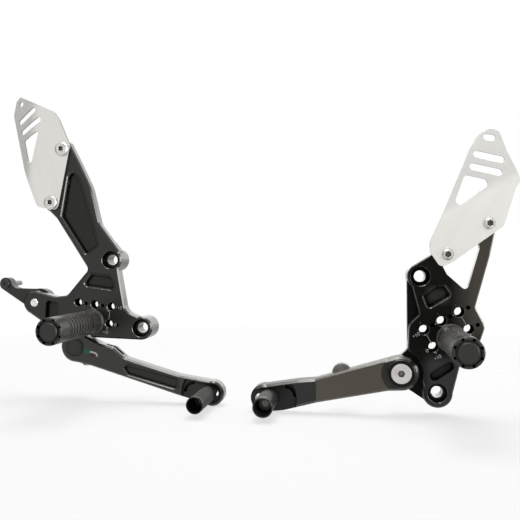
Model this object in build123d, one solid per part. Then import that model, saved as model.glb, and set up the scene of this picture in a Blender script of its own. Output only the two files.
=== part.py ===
"""Rear sets footrest: the brake side and the shift side of a motorbike's adjustable foot controls.

Each side is drawn facing the rider's foot, in its own plane: U runs to the right, W runs up, and a level is a
height in front of the hanger's face, towards the foot. All sizes are in millimetres.
"""
from build123d import *
import math
import os

os.makedirs("parts", exist_ok=True)

# Levels shared by both sides, measured from the hanger's face
FRAME_SEAT = -20.0          # faces that seat on the motorbike's frame
LEVER_FRONT = 2.0           # front face of the lever
LEVER_BACK = -9.0           # back face of the lever
LUG_GAP = 0.5               # between the lever and the lug that carries it
LUG_FRONT = LEVER_BACK - LUG_GAP
TOE_STEP = 2.0              # how far the toe end is set back from the lever's face
TOE_FACE = LEVER_FRONT - TOE_STEP

# Where the two sides stand
SHIFT_APART = 259.5         # shift side's upper frame hole, to the right of the brake side's
SHIFT_AHEAD = 17.0          # and towards the viewer
SHIFT_BELOW = 12.7          # and lower, so that both sides stand on one floor

# Frame bolts, M8
FRAME_HOLE_R = 4.5
FRAME_SINK_R = 7.4
FRAME_SINK_DEPTH = 6.0
FRAME_BOSS_R = 10.0

# Grid of peg positions
GRID_PITCH = 15.0
BRAKE_GRID_HOLE_R = 3.3
SHIFT_GRID_HOLE_R = 3.9
GRID_EDGE = 0.5             # chamfer of the grid holes
INDEX_R = 1.6
INDEX_DEPTH = 4.5

# Foot peg
PEG_LENGTH = 81.0
PEG_R = 10.4
PEG_COLLAR_R = 11.2
PEG_COLLAR = 3.0
PEG_NECK_R = 9.6
PEG_BAND_START = 5.0
PEG_RIDGE_START = 12.0
PEG_RIDGE_PITCH = 5.0
PEG_RIDGE_COUNT = 7
PEG_RIDGE_DEPTH = 0.9
PEG_RIDGE_WIDTH = 2.0
PEG_GROOVE_START = 55.5
PEG_GROOVE_WIDTH = 2.4
PEG_GROOVE_DEPTH = 1.2
CAP_START = 65.5
CAP_R = 10.6
CAP_EDGE = 0.8
CAP_MOAT_OUTER_R = 8.7
CAP_MOAT_INNER_R = 7.1
CAP_MOAT_DEPTH = 1.6
CAP_RIM_DROP = 0.8
CAP_HOLE_R = 1.15
CAP_HOLE_CIRCLE = 9.15
CAP_HOLE_COUNT = 8
CAP_HOLE_DEPTH = 4.0
CAP_SPIGOT_R = 5.9
CAP_SPIGOT = 10.0
CAP_SPIGOT_PLAY = 0.15
PEG_BOLT_R = 3.0
PEG_BOLT_REACH = 22.0
PEG_BOLT_HEAD_R = 5.0
PEG_BOLT_HEAD = 6.0
SCREW_PLAY = 0.06           # drawn between a threaded shank and its hole

# Toe peg
BRAKE_TUBE_R = 6.8
BRAKE_TUBE = 48.0           # length
BRAKE_TUBE_FOOT = 22.0      # solid foot of the tube
SHIFT_TUBE_R = 7.8
SHIFT_TUBE = 33.5
SHIFT_TUBE_FOOT = 14.0
TOE_PEG_WALL = 1.2
TOE_PEG_EDGE = 0.6
TOE_BOLT_R = 3.0
TOE_BOLT_HEAD_R = 5.0
TOE_BOLT_HEAD = 5.0
TOE_NUT_R = 5.8
TOE_NUT = 5.0
BRAKE_TOE_SLOT = 4.8        # how far the toe peg can be shifted
SHIFT_TOE_SLOT = 7.0
TOE_SLOT_PLAY = 0.8

# Sheet guards
SHEET = 2.0
FOLD_ANGLE = 20.0
FOLD_R = 30.0
GUARD_SCREW_R = 3.0
GUARD_HOLE_R = 3.3

# Brake side, front view
BRAKE_FRAME_LOW = (27.5, -58.5)
BRAKE_PEG = (-16.0, -53.5)
BRAKE_TILT = -6.5
BRAKE_PLATE = 10.0
BRAKE_ARM = 8.0
BRAKE_ARM_START = 15.0
BRAKE_PIVOT = (-31.0, -75.5)
BRAKE_LUG_R = 9.4
BRAKE_HUB_R = 13.0
BRAKE_HUB_ROOM = 16.0
BRAKE_TAIL = (-70.0, -37.5)
BRAKE_TAIL_R = 10.3
BRAKE_TOE = (87.2, -112.0)
BRAKE_TOE_END = (89.9, -112.2)
BRAKE_TOE_R = 10.6
BRAKE_TOE_RIM = 2.4
BRAKE_TOE_STEP_R = 23.0
BRAKE_ROD = (-25.0, -88.8)
BRAKE_ROD_R = 4.6
BRAKE_ROD_REACH = 12.0
BRAKE_ROD_THREAD_R = 2.0
BRAKE_ROD_THREAD = 4.0
BRAKE_ROD_LOBE_R = 3.2
BRAKE_SCREWS = ((-43.0, 96.5), (-53.0, 50.0))
BRAKE_SCREW_LUG_R = 7.6
BRAKE_SCREW_HEAD_R = 6.2
BRAKE_SCREW_HEAD = 3.4
BRAKE_PLATE_OUTLINE = (
    (-38.0, 103.5, 3.0), (-29.0, 86.5, 20.0), (-17.5, 63.0, 40.0), (-9.6, 31.0, 8.0), (8.2, 7.6, 0.0),
    (7.2, -9.0, 3.0), (13.5, -44.0, 9.0), (27.5, -50.0, 0.0), (35.0, -58.5, 0.0), (27.5, -68.5, 0.0),
    (-10.0, -67.4, 0.0), (-44.0, -66.4, 8.0), (-64.0, -53.6, 6.0), (-76.6, -45.4, 0.0), (-78.0, -37.5, 0.0),
    (-68.5, -27.4, 0.0), (-50.0, -32.2, 8.0), (-39.5, -31.0, 5.0), (-19.8, -8.2, 4.0), (-48.7, 36.0, 10.0),
    (-60.0, 47.0, 4.0), (-60.0, 54.0, 8.0), (-50.4, 98.0, 0.0), (-43.0, 104.0, 0.0),
)
BRAKE_LUG_OUTLINE = (
    (-62.0, -50.0, 0.0), (-58.0, -43.0, 3.0), (-39.0, -42.0, 4.0), (-37.0, -57.5, 5.0), (-23.5, -59.5, 4.0),
    (-22.0, -73.0, 0.0), (-31.0, -84.6, 0.0), (-40.2, -77.5, 0.0),
)
BRAKE_ARM_POCKET = (
    (-34.6, 79.5, 4.0), (-27.0, 71.0, 12.0), (-16.4, 39.0, 20.0), (-9.2, 11.4, 5.0), (-22.4, 2.8, 4.0),
    (-45.8, 38.0, 4.0), (-39.4, 74.0, 4.0),
)
BRAKE_MID_POCKET = (
    (-17.8, -10.6, 4.0), (2.4, -13.2, 5.0), (6.4, -27.4, 4.0), (-27.4, -23.2, 4.0),
)
BRAKE_TAIL_POCKET = (
    (-59.0, -35.0, 3.0), (-47.6, -37.4, 1.0), (-47.6, -54.0, 3.0), (-59.8, -52.5, 3.0),
)
POCKET_DEPTH = 3.4
POCKET_EDGE = 0.8           # sloping rim of a pocket
POCKET_LEDGE = 0.9          # flat ledge below the rim
TAIL_POCKET_DEPTH = 4.0
BRAKE_LEVER_OUTLINE = (
    (-31.0, -62.5, 0.0), (-26.0, -63.6, 0.0), (-9.0, -72.2, 10.0), (3.0, -75.2, 4.0), (13.6, -84.0, 8.0),
    (60.0, -97.4, 30.0), (84.0, -101.0, 0.0), (92.0, -102.2, 0.0), (88.0, -122.2, 0.0), (68.4, -116.6, 0.0),
    (-16.0, -91.6, 12.0), (-31.0, -88.4, 0.0),
)
BRAKE_LEVER_POCKET = (
    (10.4, -91.4, 2.5), (15.6, -88.6, 3.0), (62.3, -99.0, 4.0), (61.8, -111.2, 4.0), (16.1, -99.2, 3.0),
)
BRAKE_TOE_LIP = (
    (60.0, -90.0, 0.0), (104.0, -90.0, 0.0), (104.0, -106.4, 0.0), (84.0, -103.4, 0.0), (72.0, -101.6, 4.0),
    (60.0, -99.0, 0.0),
)
BRAKE_LEVER_NOTCH = (
    (-4.0, -71.6, 0.0), (3.8, -73.4, 0.0), (12.0, -80.6, 0.0), (9.8, -83.0, 0.8), (2.4, -77.0, 2.0),
    (-4.6, -75.4, 0.8),
)
BRAKE_NOTCH_LEVELS = (-6.0, -2.0)
LEVER_POCKET_DEPTH = 2.4
BRAKE_TOE_GROOVE = (75.2, -111.6)       # middle of the arc groove at the end of the set-back
SHIFT_TOE_GROOVE = (-105.6, -96.8)
TOE_GROOVE_R = 9.4
TOE_GROOVE_WIDTH = 2.6
TOE_GROOVE_DEPTH = 2.5
BRAKE_LEVER_EDGE = 1.4
SHIFT_LEVER_EDGE = 2.0
BRAKE_HANGER_EDGE = 1.2
SHIFT_HANGER_EDGE = 0.9
SINK_EDGE = 0.5

# Brake lever pivot
BUSH_BORE_R = 5.0
BUSH_R = 6.6
RUNNING_PLAY = 0.05
PIVOT_THREAD_R = 4.0
BRAKE_PIVOT_HEAD_R = 7.6
BRAKE_PIVOT_HEAD = 2.2
BRAKE_PIVOT_SINK_R = 8.0
BRAKE_CAP_R = 6.2
BRAKE_CAP = 0.8
PIVOT_NUT_R = 6.9
PIVOT_NUT = 5.0
HEAD_GAP = 0.3

# Rear stay behind the tail of the brake hanger
STAY = 8.0
STAY_EYE = (-103.0, -21.5)
STAY_EYE_R = 5.6
STAY_HUB_R = 12.0
STAY_OUTLINE = (
    (-101.0, -16.2, 0.0), (-94.2, -25.4, 7.0), (-70.0, -26.0, 0.0), (-63.0, -37.5, 0.0), (-70.0, -49.4, 0.0),
    (-82.0, -41.4, 0.0), (-106.0, -26.2, 0.0),
)
STAY_PIN_R = 3.5
STAY_PIN_PROUD = 0.4
STAY_COLLAR_R = 7.5
STAY_COLLAR = 3.0
STAY_POST_R = 2.3
STAY_POST_REACH = 18.0
STAY_POST_FLANGE_R = 4.0
STAY_POST_FLANGE = 1.5
STAY_SCREW_R = 1.5
STAY_SCREW_REACH = 8.0      # into the post
STAY_SCREW_HEAD_R = 4.2
STAY_SCREW_HEAD = 1.4

# Brake side guard, front view
BRAKE_FOLD = ((-70.0, 55.6), (-61.6, 135.0))
BRAKE_GUARD_OUTLINE = (
    (-86.0, 145.2, 3.0), (-50.5, 129.6, 6.0), (-45.6, 122.4, 4.0), (-35.8, 99.5, 6.0), (-47.2, 43.2, 5.0),
    (-66.0, 46.4, 6.0), (-79.0, 78.5, 30.0), (-93.2, 129.0, 8.0), (-90.4, 141.0, 3.0),
)
BRAKE_GUARD_HOLE = (-84.6, 138.6)
BRAKE_GUARD_HOLE_R = 2.4
BRAKE_GUARD_SLOTS = (((-84.6, 122.6), (-70.6, 131.8)), ((-81.4, 113.2), (-65.4, 122.8)))
BRAKE_SLOT_WIDTH = 5.0
BRAKE_GUARD_WINDOW = ((-80.4, 105.4, 2.0), (-64.4, 114.8, 2.0), (-73.2, 79.0, 2.2))

# Shift side, front view
SHIFT_FRAME_LOW = (13.0, -90.4)
SHIFT_LOW_BOSS_R = 11.4
SHIFT_PEG = (23.0, -47.6)
SHIFT_TILT = 28.0
SHIFT_BACK = -16.0
SHIFT_FRAME_START = (27.5, -13.0, 12.5)     # the open upper frame is thin above and right of here
SHIFT_FRAME = 6.0           # thickness of the open upper frame
SHIFT_PIVOT = (-14.5, -75.7)
SHIFT_LUG_R = 12.5
SHIFT_HUB_R = 13.4
SHIFT_HUB_ROOM = 16.6
SHIFT_TOE = (-119.0, -98.6)
SHIFT_TOE_END = (-122.4, -98.2)
SHIFT_TOE_R = 11.0
SHIFT_TOE_STEP_R = 23.0
SHIFT_ROD = (-60.6, -78.6)
SHIFT_ROD_R = 8.0
SHIFT_ROD_BOSS = 8.0
SHIFT_STUD_R = 3.0
SHIFT_STUD_SEAT_R = 2.5     # in the boss and the lever
SHIFT_STUD_REACH = 14.0
SHIFT_STUD_DEPTH = 6.0
SHIFT_SCREWS = ((51.0, 40.6), (20.2, 17.0))
SHIFT_SCREW_LUG_R = 6.6
SHIFT_SCREW_HEAD_R = 4.4
SHIFT_SCREW_HEAD = 3.0
SHIFT_WASHER_R = 5.2
SHIFT_WASHER = 0.8
SHIFT_BASE_OUTLINE = (
    (-9.6, 0.0, 0.0), (-4.6, 9.0, 0.0), (8.4, 17.2, 0.0), (13.6, 20.6, 0.0), (20.0, 23.6, 0.0),
    (48.0, 46.6, 0.0), (57.2, 41.0, 6.0), (51.9, 16.2, 0.0), (41.0, -23.6, 6.0), (48.6, -38.0, 8.0),
    (45.0, -49.0, 8.0), (30.0, -68.0, 10.0), (24.2, -91.0, 0.0), (13.0, -101.0, 0.0), (7.0, -99.6, 4.0),
    (-9.0, -89.2, 0.0), (-20.0, -80.0, 0.0), (-14.5, -63.2, 0.0), (-9.2, -58.0, 3.0),
)
SHIFT_FACE_OUTLINE = (
    (-9.4, 0.0, 0.0), (-4.6, 9.0, 0.0), (8.4, 17.2, 0.0), (13.6, 20.6, 0.0), (20.0, 23.6, 0.0),
    (48.0, 46.6, 0.0), (57.2, 41.0, 6.0), (51.9, 16.2, 0.0), (41.0, -23.6, 6.0), (48.6, -38.0, 8.0),
    (45.0, -49.0, 8.0), (30.0, -68.0, 10.0), (24.2, -91.0, 0.0), (13.0, -101.0, 0.0), (4.4, -97.4, 2.0),
    (2.4, -84.0, 3.0), (-2.6, -63.4, 0.0), (-9.4, -57.4, 2.0), (-8.6, -37.2, 11.0), (-0.5, -29.4, 3.0),
    (-6.0, -8.4, 6.0),
)
SHIFT_WINDOW = (
    (16.4, 8.6, 3.0), (20.0, 1.6, 2.0), (34.8, -11.8, 3.0), (45.4, 25.6, 4.5), (37.0, 27.4, 2.0),
)
SHIFT_POCKET = (
    (0.8, -14.4, 3.0), (12.0, -6.2, 4.0), (18.6, -6.2, 3.0), (25.0, -14.8, 3.5), (5.2, -26.8, 3.5),
)
SHIFT_SLOT = ((10.8, -77.0), (21.8, -69.6))
SHIFT_SLOT_WIDTH = 7.4
SHIFT_SLOT_DEPTH = 4.5
SHIFT_LEVER_OUTLINE = (
    (-14.5, -62.4, 0.0), (-20.0, -63.2, 0.0), (-81.4, -81.6, 8.0), (-95.0, -82.9, 10.0), (-121.0, -87.2, 0.0),
    (-122.4, -109.2, 0.0), (-106.8, -107.6, 20.0), (-80.6, -100.6, 20.0), (-24.7, -89.6, 8.0),
    (-14.5, -89.1, 0.0),
)
SHIFT_TOE_LIP = (
    (-132.0, -80.0, 0.0), (-88.0, -80.0, 0.0), (-88.0, -84.2, 0.0), (-96.0, -85.6, 4.0), (-121.0, -89.6, 0.0),
    (-132.0, -91.6, 0.0),
)
SHIFT_CREASE = -80.8        # where the lever's middle, milled a little lower, begins
SHIFT_MIDDLE_DROP = 0.6
SHIFT_HUB_STEP_R = 15.2
SHIFT_CONE_HEAD_R = 7.8
SHIFT_CONE_TIP_R = 4.0
SHIFT_RING_R = 11.0
SHIFT_RING_DEPTH = 4.6
SHIFT_RING_LIP = 0.6
SHIFT_FOLD = ((11.6, 37.8), (73.2, 72.7))
SHIFT_GUARD_OUTLINE = (
    (54.6, 116.6, 5.0), (46.0, 111.8, 4.0), (39.4, 101.0, 10.0), (17.0, 48.6, 20.0), (6.8, 26.6, 5.0),
    (7.2, 18.4, 4.0), (14.8, 7.2, 4.0), (21.8, 9.6, 6.0), (61.4, 38.4, 4.0), (70.2, 67.0, 10.0),
    (74.0, 73.4, 3.0), (65.4, 96.0, 10.0), (60.8, 113.0, 3.0),
)
SHIFT_GUARD_HOLE = ((51.8, 108.8), (55.2, 108.2))
SHIFT_HOLE_WIDTH = 5.4
SHIFT_GUARD_SLOTS = (((43.8, 95.2), (60.4, 90.2)), ((40.6, 85.2), (58.2, 79.8)))
SHIFT_SLOT_OPENING = 5.6
SHIFT_GUARD_WINDOW = (
    (34.0, 79.0, 3.0), (48.6, 74.8, 2.5), (51.0, 70.4, 2.5), (32.0, 56.0, 2.5), (28.0, 54.4, 2.5),
    (26.2, 58.6, 2.5),
)

# Hexagon keys
KEY_M4 = 2.5
KEY_M4_DEPTH = 1.0
KEY_M6 = 4.0
KEY_M8 = 5.0
KEY_DEPTH = 2.2


def corner(before, point, after, radius):
    """Tangent points and middle of the arc that rounds one corner of an outline."""
    here = Vector(point[0], point[1])
    back = (Vector(before[0], before[1]) - here).normalized()
    ahead = (Vector(after[0], after[1]) - here).normalized()
    half = math.radians(back.get_angle(ahead)) / 2
    reach = radius / math.tan(half)
    middle = (back + ahead).normalized()
    centre = here + middle * (radius / math.sin(half))
    return here + back * reach, centre - middle * radius, here + ahead * reach


def rounded(points):
    """Closed face from (u, w, corner radius) points."""
    count = len(points)
    edges = []
    ends = []
    for index, point in enumerate(points):
        if point[2] > 0:
            start, middle, end = corner(points[index - 1], point, points[(index + 1) % count], point[2])
            edges.append(ThreePointArc(start, middle, end))
        else:
            start = end = Vector(point[0], point[1])
        ends.append((start, end))
    for index, (start, _) in enumerate(ends):
        edges.append(Line(ends[index - 1][1], start))
    return make_face(edges)


def disc(at, radius):
    """Round face about a point of the front view."""
    return Pos(at[0], at[1]) * Circle(radius)


def slot(ends, width):
    """Round-ended slot between two points of the front view."""
    start, end = Vector(*ends[0]), Vector(*ends[1])
    return SlotCenterToCenter((end - start).length, width).moved(
        Location(((start.X + end.X) / 2, (start.Y + end.Y) / 2, 0), (0, 0, math.degrees(math.atan2(
            end.Y - start.Y, end.X - start.X)))))


def slab(face, low, high):
    """Front-view face made solid between two levels."""
    return extrude(Plane.XZ.offset(low) * face, amount=high - low)


def sunk(outline, top, depth):
    """Pocket with a sloping rim, a flat ledge below it and a floor."""
    face = rounded(outline)
    rim = extrude(Plane.XZ.offset(top) * face, amount=-POCKET_EDGE, taper=45)
    floor = offset(face, amount=-POCKET_EDGE - POCKET_LEDGE, kind=Kind.INTERSECTION)
    return rim + slab(floor, top - depth, top)


def turned(profile, at):
    """Solid turned about a line of sight through a point, from (radius, level) points."""
    face = make_face(Polyline(*[(radius, 0, level) for radius, level in profile], close=True))
    return Pos(at[0], 0, at[1]) * Rot(90, 0, 0) * revolve(face, Axis.Z)


def rod(at, radius, low, high):
    """Round bar between two levels."""
    return slab(disc(at, radius), low, high)


def beyond(outline, left, low):
    """Rectangle from a point to well past the upper right corner of an outline."""
    width = 2 * (max(u for u, _, _ in outline) - left)
    height = 2 * (max(w for _, w, _ in outline) - low)
    return Pos(left + width / 2, low + height / 2) * Rectangle(width, height)


def key(at, across, top, depth):
    """Hexagon socket cut from a level downwards."""
    return slab(Pos(at[0], at[1]) * RegularPolygon(across / 2, 6, major_radius=False), top - depth, top)


def grid(peg, tilt, column, row):
    """Point of the peg grid: column steps along the row, row steps up from the peg's own row."""
    along = math.radians(tilt)
    right = (GRID_PITCH * math.cos(along), GRID_PITCH * math.sin(along))
    return (peg[0] + column * right[0] - row * right[1], peg[1] + column * right[1] + row * right[0])


def grid_holes(peg, tilt, hole_r):
    """Chamfered through holes and blind index holes of the six peg positions."""
    wide = hole_r + GRID_EDGE
    profile = [(0, FRAME_SEAT - 1), (hole_r, FRAME_SEAT - 1), (hole_r, -GRID_EDGE), (wide, 0), (wide, 1), (0, 1)]
    cuts = []
    for row in (0, 1):
        for column in (-1, 0, 1):
            cuts.append(turned(profile, grid(peg, tilt, column, row)))
            cuts.append(rod(grid(peg, tilt, column + 0.5, row), INDEX_R, -INDEX_DEPTH, 1))
    return cuts


def frame_hole(at):
    """M8 clearance hole with a counterbore for the bolt's head."""
    floor = -FRAME_SINK_DEPTH
    wide = FRAME_SINK_R + SINK_EDGE
    return [turned([(0, FRAME_SEAT - 1), (FRAME_HOLE_R, FRAME_SEAT - 1), (FRAME_HOLE_R, floor),
                    (FRAME_SINK_R, floor), (FRAME_SINK_R, -SINK_EDGE), (wide, 0), (wide, 1), (0, 1)], at)]


def front_edges(solid, level):
    """Outer edges of the face at a level."""
    face = max((f for f in solid.faces().filter_by(Axis.Y) if abs(f.center().Y + level) < 1e-4),
               key=lambda f: f.area)
    return face.outer_wire().edges()


def foot_peg(at, tilt):
    """Barrel: collar, neck, polished band, ridges and a groove before the cap."""
    bore = PEG_BOLT_R + SCREW_PLAY
    pocket = CAP_SPIGOT_R + CAP_SPIGOT_PLAY
    spigot_floor = CAP_START - CAP_SPIGOT - 1
    profile = [(bore, 0), (PEG_COLLAR_R, 0), (PEG_COLLAR_R, PEG_COLLAR), (PEG_NECK_R, PEG_COLLAR + 0.8),
               (PEG_NECK_R, PEG_BAND_START), (PEG_R, PEG_BAND_START + 0.8)]
    for ridge in range(PEG_RIDGE_COUNT):
        start = PEG_RIDGE_START + ridge * PEG_RIDGE_PITCH
        profile += [(PEG_R, start), (PEG_R - PEG_RIDGE_DEPTH, start + PEG_RIDGE_WIDTH / 2),
                    (PEG_R, start + PEG_RIDGE_WIDTH)]
    groove_end = PEG_GROOVE_START + PEG_GROOVE_WIDTH
    profile += [(PEG_R, PEG_GROOVE_START), (PEG_R - PEG_GROOVE_DEPTH, PEG_GROOVE_START + 0.6),
                (PEG_R - PEG_GROOVE_DEPTH, groove_end - 0.6), (PEG_R, groove_end), (PEG_R, CAP_START),
                (pocket, CAP_START), (pocket, spigot_floor), (bore, spigot_floor)]
    dowel = grid(at, tilt, 0.5, 0)
    return turned(profile, at) - rod(dowel, INDEX_R, -1, INDEX_DEPTH)


def peg_cap(at):
    """End cap: raised centre, moat, rim with eight holes, and a spigot in the barrel."""
    rim = PEG_LENGTH - CAP_RIM_DROP
    profile = [(0, CAP_START - CAP_SPIGOT), (CAP_SPIGOT_R, CAP_START - CAP_SPIGOT), (CAP_SPIGOT_R, CAP_START),
               (CAP_R, CAP_START), (CAP_R, rim - CAP_EDGE), (CAP_R - CAP_EDGE, rim), (CAP_MOAT_OUTER_R, rim),
               (CAP_MOAT_OUTER_R, rim - CAP_MOAT_DEPTH), (CAP_MOAT_INNER_R, rim - CAP_MOAT_DEPTH),
               (CAP_MOAT_INNER_R, PEG_LENGTH - CAP_EDGE), (CAP_MOAT_INNER_R - CAP_EDGE, PEG_LENGTH),
               (0, PEG_LENGTH)]
    cap = turned(profile, at)
    for index in range(CAP_HOLE_COUNT):
        turn = 2 * math.pi * (index + 0.5) / CAP_HOLE_COUNT
        hole = (at[0] + CAP_HOLE_CIRCLE * math.cos(turn), at[1] + CAP_HOLE_CIRCLE * math.sin(turn))
        cap -= rod(hole, CAP_HOLE_R, rim - CAP_HOLE_DEPTH, rim + 1)
    return cap


def peg_bolt(at, back):
    """Socket head bolt from behind the hanger into the barrel."""
    bolt = turned([(0, back - PEG_BOLT_HEAD), (PEG_BOLT_HEAD_R, back - PEG_BOLT_HEAD), (PEG_BOLT_HEAD_R, back),
                   (PEG_BOLT_R, back), (PEG_BOLT_R, PEG_BOLT_REACH), (0, PEG_BOLT_REACH)], at)
    return bolt - key(at, KEY_M8, back - PEG_BOLT_HEAD + KEY_DEPTH, KEY_DEPTH + 1)


def peg_dowel(at, tilt):
    """Index pin between the hanger and the barrel."""
    return rod(grid(at, tilt, 0.5, 0), INDEX_R, -INDEX_DEPTH, INDEX_DEPTH)


def toe_peg(at, radius, length, foot):
    """Tube with a solid foot."""
    end = TOE_FACE + length
    web = TOE_FACE + foot
    inside = radius - TOE_PEG_WALL
    bore = TOE_BOLT_R + SCREW_PLAY
    return turned([(bore, TOE_FACE), (radius, TOE_FACE), (radius, end - TOE_PEG_EDGE), (radius - TOE_PEG_EDGE, end),
                   (inside + TOE_PEG_EDGE / 2, end), (inside, end - TOE_PEG_EDGE), (inside, web), (bore, web)], at)


def toe_bolt(at, foot):
    """Socket head bolt inside the tube."""
    web = TOE_FACE + foot
    top = web + TOE_BOLT_HEAD
    end = LEVER_BACK - TOE_NUT
    bolt = turned([(0, end), (TOE_BOLT_R, end), (TOE_BOLT_R, web), (TOE_BOLT_HEAD_R, web), (TOE_BOLT_HEAD_R, top),
                   (0, top)], at)
    return bolt - key(at, KEY_M8, top, KEY_DEPTH)


def toe_nut(at):
    """Hexagon nut behind the lever."""
    hexagon = Pos(at[0], at[1]) * RegularPolygon(TOE_NUT_R, 6)
    return slab(hexagon - disc(at, TOE_BOLT_R + SCREW_PLAY), LEVER_BACK - TOE_NUT, LEVER_BACK)


def button_screw(at, low, seat, head_r, head):
    """Dome head screw with a hexagon socket."""
    dome = [(0, low), (GUARD_SCREW_R, low), (GUARD_SCREW_R, seat), (head_r, seat), (head_r, seat + 0.25 * head),
            (0.86 * head_r, seat + 0.7 * head), (0.55 * head_r, seat + head), (0, seat + head)]
    return turned(dome, at) - key(at, KEY_M6, seat + head, KEY_DEPTH)


def folded_guard(outline, fold, cuts, screws):
    """Sheet guard: a flat flange and a wing that leans back from the fold line, cut to the outline."""
    start, end = Vector(*fold[0]), Vector(*fold[1])
    along = (end - start).normalized()
    angle = math.radians(FOLD_ANGLE)
    inner_r, outer_r = FOLD_R, FOLD_R + SHEET
    reach = 2 * max((Vector(u, w) - start).length for u, w, _ in outline)

    def bend(radius, level):
        """Flange end, arc middle, wing start and wing end of one sheet face, as (distance, level)."""
        arc_end = (radius * math.sin(angle), level - radius * (1 - math.cos(angle)))
        arc_mid = (radius * math.sin(angle / 2), level - radius * (1 - math.cos(angle / 2)))
        wing = (arc_end[0] + reach * math.cos(angle), arc_end[1] - reach * math.sin(angle))
        return (-reach, level), (0, level), arc_mid, arc_end, wing

    back = bend(inner_r, 0)
    front = bend(outer_r, SHEET)
    profile = make_face([
        Line(back[0], back[1]), ThreePointArc(back[1], back[2], back[3]), Line(back[3], back[4]),
        Line(back[4], front[4]), Line(front[4], front[3]), ThreePointArc(front[3], front[2], front[1]),
        Line(front[1], front[0]), Line(front[0], back[0]),
    ])
    outward = Vector(0, -1, 0)
    wingward = Vector(-along.Y, 0, along.X)
    plane = Plane(origin=(start.X, 0, start.Y), x_dir=wingward, z_dir=wingward.cross(outward))
    sheet = extrude(plane * profile, amount=2 * reach, both=True)
    blank = rounded(outline)
    for cut in cuts:
        blank -= cut
    for screw in screws:
        blank -= disc(screw, GUARD_HOLE_R)
    return sheet & slab(blank, -reach, reach)


def brake_hanger():
    """Plate with arm, tail, frame bosses and the lug behind the lever."""
    face = rounded(BRAKE_PLATE_OUTLINE) + disc((0, 0), FRAME_BOSS_R) + disc(BRAKE_FRAME_LOW, FRAME_BOSS_R)
    face += disc(BRAKE_TAIL, BRAKE_TAIL_R)
    for screw in BRAKE_SCREWS:
        face += disc(screw, BRAKE_SCREW_LUG_R)
    body = slab(face - disc(BRAKE_PIVOT, BRAKE_HUB_ROOM), -BRAKE_PLATE, 0)
    body = chamfer(front_edges(body, 0), BRAKE_HANGER_EDGE)
    body -= slab(beyond(BRAKE_PLATE_OUTLINE, BRAKE_TAIL[0], BRAKE_ARM_START), FRAME_SEAT, -BRAKE_ARM)
    for boss in ((0, 0), BRAKE_FRAME_LOW):
        body += rod(boss, FRAME_BOSS_R, FRAME_SEAT, -BRAKE_HANGER_EDGE)
    body += slab(rounded(BRAKE_LUG_OUTLINE) + disc(BRAKE_PIVOT, BRAKE_LUG_R), FRAME_SEAT, LUG_FRONT)
    body -= sunk(BRAKE_ARM_POCKET, 0, POCKET_DEPTH)
    body -= sunk(BRAKE_MID_POCKET, 0, POCKET_DEPTH)
    body -= slab(rounded(BRAKE_TAIL_POCKET), -TAIL_POCKET_DEPTH, 1)
    body -= frame_hole((0, 0)) + frame_hole(BRAKE_FRAME_LOW) + grid_holes(BRAKE_PEG, BRAKE_TILT, BRAKE_GRID_HOLE_R)
    body -= rod(BRAKE_PIVOT, PIVOT_THREAD_R + SCREW_PLAY, FRAME_SEAT - 1, 0)
    body -= rod(BRAKE_TAIL, STAY_PIN_R, FRAME_SEAT, 1)
    for screw in BRAKE_SCREWS:
        body -= rod(screw, GUARD_SCREW_R + SCREW_PLAY, FRAME_SEAT, 1)
    return body


def lever_body(face, edge):
    """Lever between its two faces, with its front edge broken."""
    body = slab(face, LEVER_BACK, LEVER_FRONT)
    return chamfer(front_edges(body, LEVER_FRONT), edge)


def toe_step(toe, step_r, step_side):
    """Front view of the part of a lever that is set back round the toe."""
    return disc(toe, step_r) + Pos(toe[0] + step_side * step_r, toe[1]) * Rectangle(2 * step_r, 4 * step_r)


def toe_groove(middle, step_side):
    """Quarter ring groove under the lip, at the end of the set-back."""
    reach = 2 * TOE_GROOVE_R
    quarter = Pos(middle[0] - step_side * reach / 2, middle[1] + reach / 2) * Rectangle(reach, reach)
    ring = disc(middle, TOE_GROOVE_R) - disc(middle, TOE_GROOVE_R - TOE_GROOVE_WIDTH)
    return slab(ring & quarter, TOE_FACE - TOE_GROOVE_DEPTH, LEVER_FRONT + 1)


def toe_slot(toe, reach):
    """Slot for the toe bolt, running along the lever."""
    return slab(slot((toe, (toe[0] + reach, toe[1])), 2 * (TOE_BOLT_R + TOE_SLOT_PLAY)), LEVER_BACK - 1, 3)


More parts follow.
